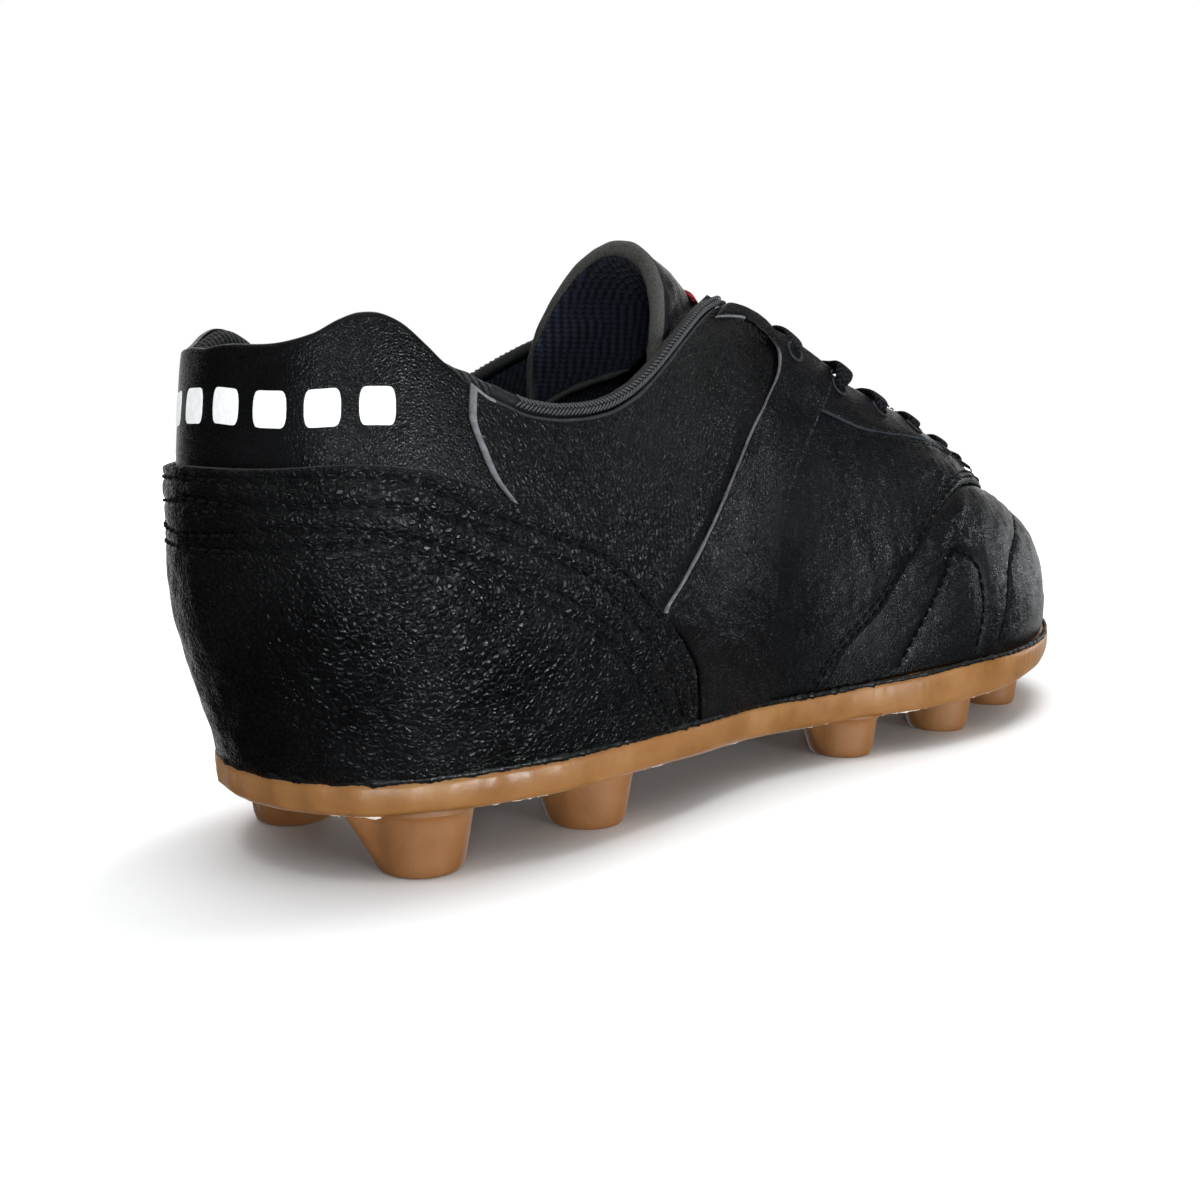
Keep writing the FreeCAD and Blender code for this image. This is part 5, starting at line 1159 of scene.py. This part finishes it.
def stud(lab, sx, sy, kind):
    tip, root = RAD[kind]; z0 = 1.6 if lab == "stud_toe" else 0.0
    zt = float(zbot(sx)) + .6; H = zt - z0; K = 56
    # profile: flat face, rounded rim, straight flank, flared root
    pr = [(0.001, .10), (tip * .45, .06), (tip - 2.2, .02), (tip - 1.1, .0), (tip - .55, .12), (tip - .2, .42), (tip + .02, 1.0)]
    fl = lambda z: tip + (root - tip) * (z / 15.6)
    for z in np.linspace(1.8, H - 2.6, 8): pr.append((fl(z), z))
    for q in (.25, .5, .75, .9, 1.0): pr.append((fl(H - 2.6) + .25 * q + 1.6 * q ** 3, H - 2.6 + 2.6 * q))
    a = np.arange(K) / K * 2 * math.pi
    med = -1 if sy < 0 else 1
    V_ = []
    for r, z in pr:
        rr_ = np.full(K, r)
        f = np.clip(z / max(H, 1), 0, 1)
        if kind != "toe":
            # raked gusset running out to the rear and inner side, growing towards the root
            for ang, amt, wd in ((math.pi - med * -.55, 5.2 if sx < 40 else 2.2, .42), (-med * .15, 2.6 if sx < 40 else 1.6, .36)):
                dd = np.angle(np.exp(1j * (a - ang)))
                rr_ = rr_ + amt * f ** 1.15 * np.exp(-(dd / wd) ** 4) * (r > tip - .6)
        V_.append(np.stack([sx + rr_ * np.cos(a), sy + rr_ * np.sin(a), np.full(K, z0 + z)], 1))
    n = len(pr); V_ = np.concatenate(V_); F_ = []
    for i in range(n - 1):
        for k in range(K):
            F_.append((i * K + k, i * K + (k + 1) % K, (i + 1) * K + (k + 1) % K, (i + 1) * K + k))
    F_.append(tuple(range(K))[::-1]); F_.append(tuple((n - 1) * K + k for k in range(K)))
    o = make(lab + "_moulded", M(V_), F_, [STUD]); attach(o, "root"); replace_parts(o, lab)
    return o


for s_ in STUDS: stud(*s_)

# ============================================================ laces
EYE = [6.42, 6.98, 7.54, 8.10, 8.66, 9.2]; EYE_D = [float(throat_w(q)) + 3.9 for q in EYE]
TOPH = L2 + .95


def lace_pt(um, d, h):
    u = np.where(d < 0, um, NU - um); v = dist_v(u, np.maximum(np.abs(d), .02))
    return surf(u, v) + normal(u, v) * np.asarray(h)[..., None]


def smooth_line(P, it):
    P = P.copy()
    for _ in range(it): P[1:-1] = .25 * P[:-2] + .5 * P[1:-1] + .25 * P[2:]
    return P


def ribbon(name, P, Nn, w, t, body="root"):
    """woven ribbon of oval section, width w and thickness t along the line"""
    n = len(P); T = unit(np.gradient(P, axis=0)); S = unit(np.cross(T, Nn)); U_ = np.cross(S, T); K = 18
    a = np.arange(K) * 2 * math.pi / K
    cx = np.sign(np.cos(a)) * np.abs(np.cos(a)) ** .8; cy = np.sign(np.sin(a)) * np.abs(np.sin(a)) ** .75
    R_ = P[:, None] + (w / 2)[:, None, None] * cx[None, :, None] * S[:, None] + (t / 2)[:, None, None] * cy[None, :, None] * U_[:, None]
    s = np.concatenate([[0], np.cumsum(np.linalg.norm(np.diff(P, axis=0), axis=1))]) * .001
    V_ = R_.reshape(-1, 3); F_ = []
    for i in range(n - 1):
        for j in range(K): F_.append((i * K + j, i * K + (j + 1) % K, (i + 1) * K + (j + 1) % K, (i + 1) * K + j))
    F_.append(tuple(range(K))[::-1]); F_.append(tuple((n - 1) * K + j for j in range(K)))
    uv = np.stack([np.repeat(s, K), np.tile(.5 + .5 * cx, n)], 1)
    o = make(name, M(V_), F_, [LACE], uv=uv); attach(o, body); return o


def strand(i, j, sd, lift, bulge=0.0, name=""):
    n = 150; f = np.linspace(0, 1, n); di, dj = EYE_D[i], EYE_D[j]
    d = sd * (di * (1 - f) - dj * f); um = EYE[i] * (1 - f) + EYE[j] * f
    w0 = float(throat_w(EYE[i])) / (di + dj); f1 = (di - float(throat_w(EYE[i]))) / (di + dj); f2 = 1 - (dj - float(throat_w(EYE[j]))) / (di + dj)
    h = np.interp(f, [0, .012, .05, f1 * .6, f1, f1 + .14, .5, f2 - .14, f2, 1], [-1.0, 1.8, TOPH + .95, TOPH + .85, TOPH + .6, 1.6, -.9 + lift, -1.9, -2.15, -2.3])
    h = h + bulge * np.exp(-((f - .17) / .09) ** 2)
    P = lace_pt(um, d, h); u = np.where(d < 0, um, NU - um); Nn = normal(u, dist_v(u, np.maximum(np.abs(d), 2.0)))
    P = smooth_line(P, 14); Nn = unit(smooth_line(Nn, 30))
    w = np.interp(f, [0, .03, .09, .2, .93, 1], [3.0, 3.6, 5.4, 6.0, 5.6, 4.0]); t = np.interp(f, [0, .03, .09, 1], [2.2, 1.9, 1.3, 1.2])
    return ribbon(name, P, Nn, w, t)


ls = []
for i in range(5):
    ls.append(strand(i, i + 1, -1, .0, 2.2 if i == 1 else .5, "lace_strand_m%d" % i))
    ls.append(strand(i, i + 1, 1, 1.35, .4, "lace_strand_l%d" % i))
# front bar
n = 120; f = np.linspace(0, 1, n); d = EYE_D[5] * (1 - 2 * f); um = np.full(n, 9.2)
h = np.interp(f, [0, .02, .08, .22, .4, .6, .78, .92, .98, 1], [-1, 2, TOPH + .9, TOPH + .6, .6, .6, TOPH + .6, TOPH + .9, 2, -1])
P = smooth_line(lace_pt(um, d, h), 14); u = np.where(d < 0, um, NU - um); Nn = unit(smooth_line(normal(u, dist_v(u, np.maximum(np.abs(d), 2.0))), 30))
ls.append(ribbon("lace_front_bar", P, Nn, np.interp(f, [0, .05, .15, .85, .95, 1], [3, 4, 6, 6, 4, 3]), np.interp(f, [0, .05, .15, .85, .95, 1], [2.2, 1.8, 1.3, 1.3, 1.8, 2.2])))
for o in ls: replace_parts(o, "lace")

# eyelets: rolled rim of each punched hole
V_, F_ = [], []; base = 0
for s, _ in SIDES:
    for i in range(6):
        um = EYE[i]; u0 = um if s < 0 else NU - um; v0 = float(dist_v(u0, EYE_D[i])); c = off(u0, v0, TOPH + .12 + (1.05 if i == 0 else 0.0)); N0 = normal(u0, v0)
        a1 = unit(np.cross(N0, [0, 0, 1.0])); a2 = np.cross(N0, a1); K1, K2 = 28, 8
        for k in range(K1):
            a = 2 * math.pi * k / K1; rd = math.cos(a) * a1 + math.sin(a) * a2
            for q in range(K2):
                b = 2 * math.pi * q / K2; V_.append(c + rd * (2.35 + .42 * math.cos(b)) + N0 * (.34 * math.sin(b)))
        for k in range(K1):
            for q in range(K2):
                F_.append((base + k * K2 + q, base + k * K2 + (q + 1) % K2, base + ((k + 1) % K1) * K2 + (q + 1) % K2, base + ((k + 1) % K1) * K2 + q))
        base += K1 * K2
ob = make("eyelet_rims", M(np.array(V_)), F_, [EYELET]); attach(ob, "root")

# woven tab folded on the tongue near its fold
def flap_out(t, e, h):
    p = flap_mid(t, e); dd = .02
    a = flap_mid(np.minimum(t + dd, 1), e) - flap_mid(np.maximum(t - dd, 0), e); b = flap_mid(t, np.minimum(e + dd, 1)) - flap_mid(t, np.maximum(e - dd, -1))
    return p + unit(np.cross(b, a)) * np.asarray(h)[..., None]


tt_, ee_ = np.meshgrid(.01 + .20 * samples(26, 7, .35), -.72 + .8 * samples(40, 12, .35), indexing="ij")
ob = grid_shell("tongue_woven_tab", flap_out(tt_, ee_, np.full(tt_.shape, 1.15)), flap_out(tt_, ee_, np.full(tt_.shape, .25)), [RED, RED], cut_slot=0)
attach(ob, "tongue_flap"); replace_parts(ob, "tongue_tab")

# tongue: its placement is baked into its mesh; the points beside the hinge are computed but not used
for ob in TONGUE:
    tuple(M(HINGE + np.array([5.0, 0, -2.0])))
    tuple(M(HINGE + np.array([-8.5, 0, 3.5])))
    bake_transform(ob)

# ============================================================ inner sole and hidden pieces
BOARD = plain("insole_board_fibre", (.25, .19, .12), (.38, .30, .2), .85, 400.0, .5, .0003)
CORK = plain("cork_filler", (.22, .13, .07), (.45, .30, .17), .85, 500.0, .7, .0005)
NYLON = plain("shank_nylon", (.04, .04, .045), (.08, .08, .085), .45, 300.0, .3, .0003)
MATS = {"sock_liner": SOCK, "insole_board": BOARD, "forefoot_filler": CORK, "heel_filler": CORK, "waist_shank": NYLON}
for k, m in MATS.items():
    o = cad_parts[k]
    if not o.material_slots:
        o.data.materials.append(m)
    for sl_ in o.material_slots: sl_.material = m

# ============================================================ floor, light, world
def floor():
    me = bpy.data.meshes.new("floor"); s = 6.0
    me.from_pydata([(-s, -s, 0), (s, -s, 0), (s, s, 0), (-s, s, 0)], [], [(0, 1, 2, 3)]); me.update()
    ob = bpy.data.objects.new("floor", me); bpy.context.scene.collection.objects.link(ob)
    m, nt, b = mat_new("floor_white"); v = coords(nt)
    n = nd(nt, "ShaderNodeTexNoise", **{"Scale": 3.0, "Detail": 2.0}); nt.links.new(v, n.inputs["Vector"])
    nt.links.new(rampv(nt, n.outputs["Fac"], [(.3, (.86, .86, .865)), (.7, (.885, .885, .885))]), b.inputs["Base Color"])
    b.inputs["Roughness"].default_value = .8; b.inputs["Specular IOR Level"].default_value = .1
    # the floor glows more with distance from the middle, a painted glow, so it runs out into the pale background with
    # no horizon line
    ln = nt.nodes.new("ShaderNodeVectorMath"); ln.operation = "LENGTH"; nt.links.new(v, ln.inputs[0])
    b.inputs["Emission Color"].default_value = (1, 1, 1, 1); nt.links.new(mapr(nt, ln.outputs["Value"], .45, 1.5, 0.0, .8), b.inputs["Emission Strength"])
    me.materials.append(m); ob.visible_glossy = False; return ob


def backdrop():
    """a plain white dome round the stage, which takes no part in the lighting"""
    bm = bmesh.new(); bmesh.ops.create_icosphere(bm, subdivisions=4, radius=5.6)
    me = bpy.data.meshes.new("backdrop"); bm.to_mesh(me); bm.free()
    ob = bpy.data.objects.new("backdrop", me); bpy.context.scene.collection.objects.link(ob)
    m, nt, b = mat_new("backdrop_white")
    b.inputs["Base Color"].default_value = (0, 0, 0, 1); b.inputs["Specular IOR Level"].default_value = 0.0
    b.inputs["Emission Color"].default_value = (1, 1, 1, 1); b.inputs["Emission Strength"].default_value = 1.0
    me.materials.append(m)
    ob.visible_glossy = ob.visible_diffuse = ob.visible_shadow = ob.visible_transmission = ob.visible_volume_scatter = False
    return ob


floor(); backdrop()
w = bpy.data.worlds.new("studio"); bpy.context.scene.world = w; w.use_nodes = True
wt = w.node_tree; bg = wt.nodes["Background"]
tc = wt.nodes.new("ShaderNodeTexCoord"); dp = wt.nodes.new("ShaderNodeVectorMath"); dp.operation = "DOT_PRODUCT"
wt.links.new(tc.outputs["Generated"], dp.inputs[0]); dp.inputs[1].default_value = (.70, .714, .0)
sz = wt.nodes.new("ShaderNodeSeparateXYZ"); wt.links.new(tc.outputs["Generated"], sz.inputs[0])
lobe = mapr(wt, dp.outputs["Value"], .62, .85, 0.0, 1.0); over = mapr(wt, sz.outputs["Z"], .45, .85, 0.0, 1.0)
wt.links.new(rampv(wt, mth(wt, "MAXIMUM", lobe, over), [(0.0, (.034, .035, .037)), (1.0, (1, 1, 1))]), bg.inputs["Color"])
bg.inputs["Strength"].default_value = 1.0


def area(name, loc, target, size, power, sy=None):
    l = bpy.data.lights.new(name, "AREA"); l.shape = "RECTANGLE"; l.size = size; l.size_y = sy or size; l.energy = power
    if name != "top_soft": l.color = (.87, .96, 1.0)
    o = bpy.data.objects.new(name, l); bpy.context.scene.collection.objects.link(o)
    o.location = loc; d = Vector(target) - Vector(loc); o.rotation_euler = d.to_track_quat("-Z", "Y").to_euler(); o.visible_camera = False; return o


area("side_window", (.00, -1.36, .06), (-.06, 0, .07), .60, 13.0, .12)
area("side_fill", (.24, -1.34, .14), (-.06, 0, .07), .85, .5, .26)
area("front_window", (.80, -1.10, .36), (0, 0, .08), .20, .7, .18)
area("toe_window", (1.30, -.21, .09), (.10, 0, .05), .16, .75, .18)
area("top_soft", (-.15, .10, 1.3), (0, 0, .05), .9, 11.0).visible_glossy = False
area("far_window", (.80, 1.12, .30), (0, 0, .06), .55, 2.4, .25)
area("heel_window", (-1.02, -1.0, .16), (-.12, 0, .09), .40, 6.5, .24)
sun = bpy.data.lights.new("soft_sun", "SUN"); sun.energy = 1.3; sun.angle = math.radians(24)
so_ = bpy.data.objects.new("soft_sun", sun); bpy.context.scene.collection.objects.link(so_); so_.visible_glossy = False
so_.rotation_euler = Vector((-.50, -.08, -1)).to_track_quat("-Z", "Y").to_euler()

vs = bpy.context.scene.view_settings
vs.view_transform = "Standard"; vs.look = "None"; vs.exposure = 0.0; vs.gamma = 1.0
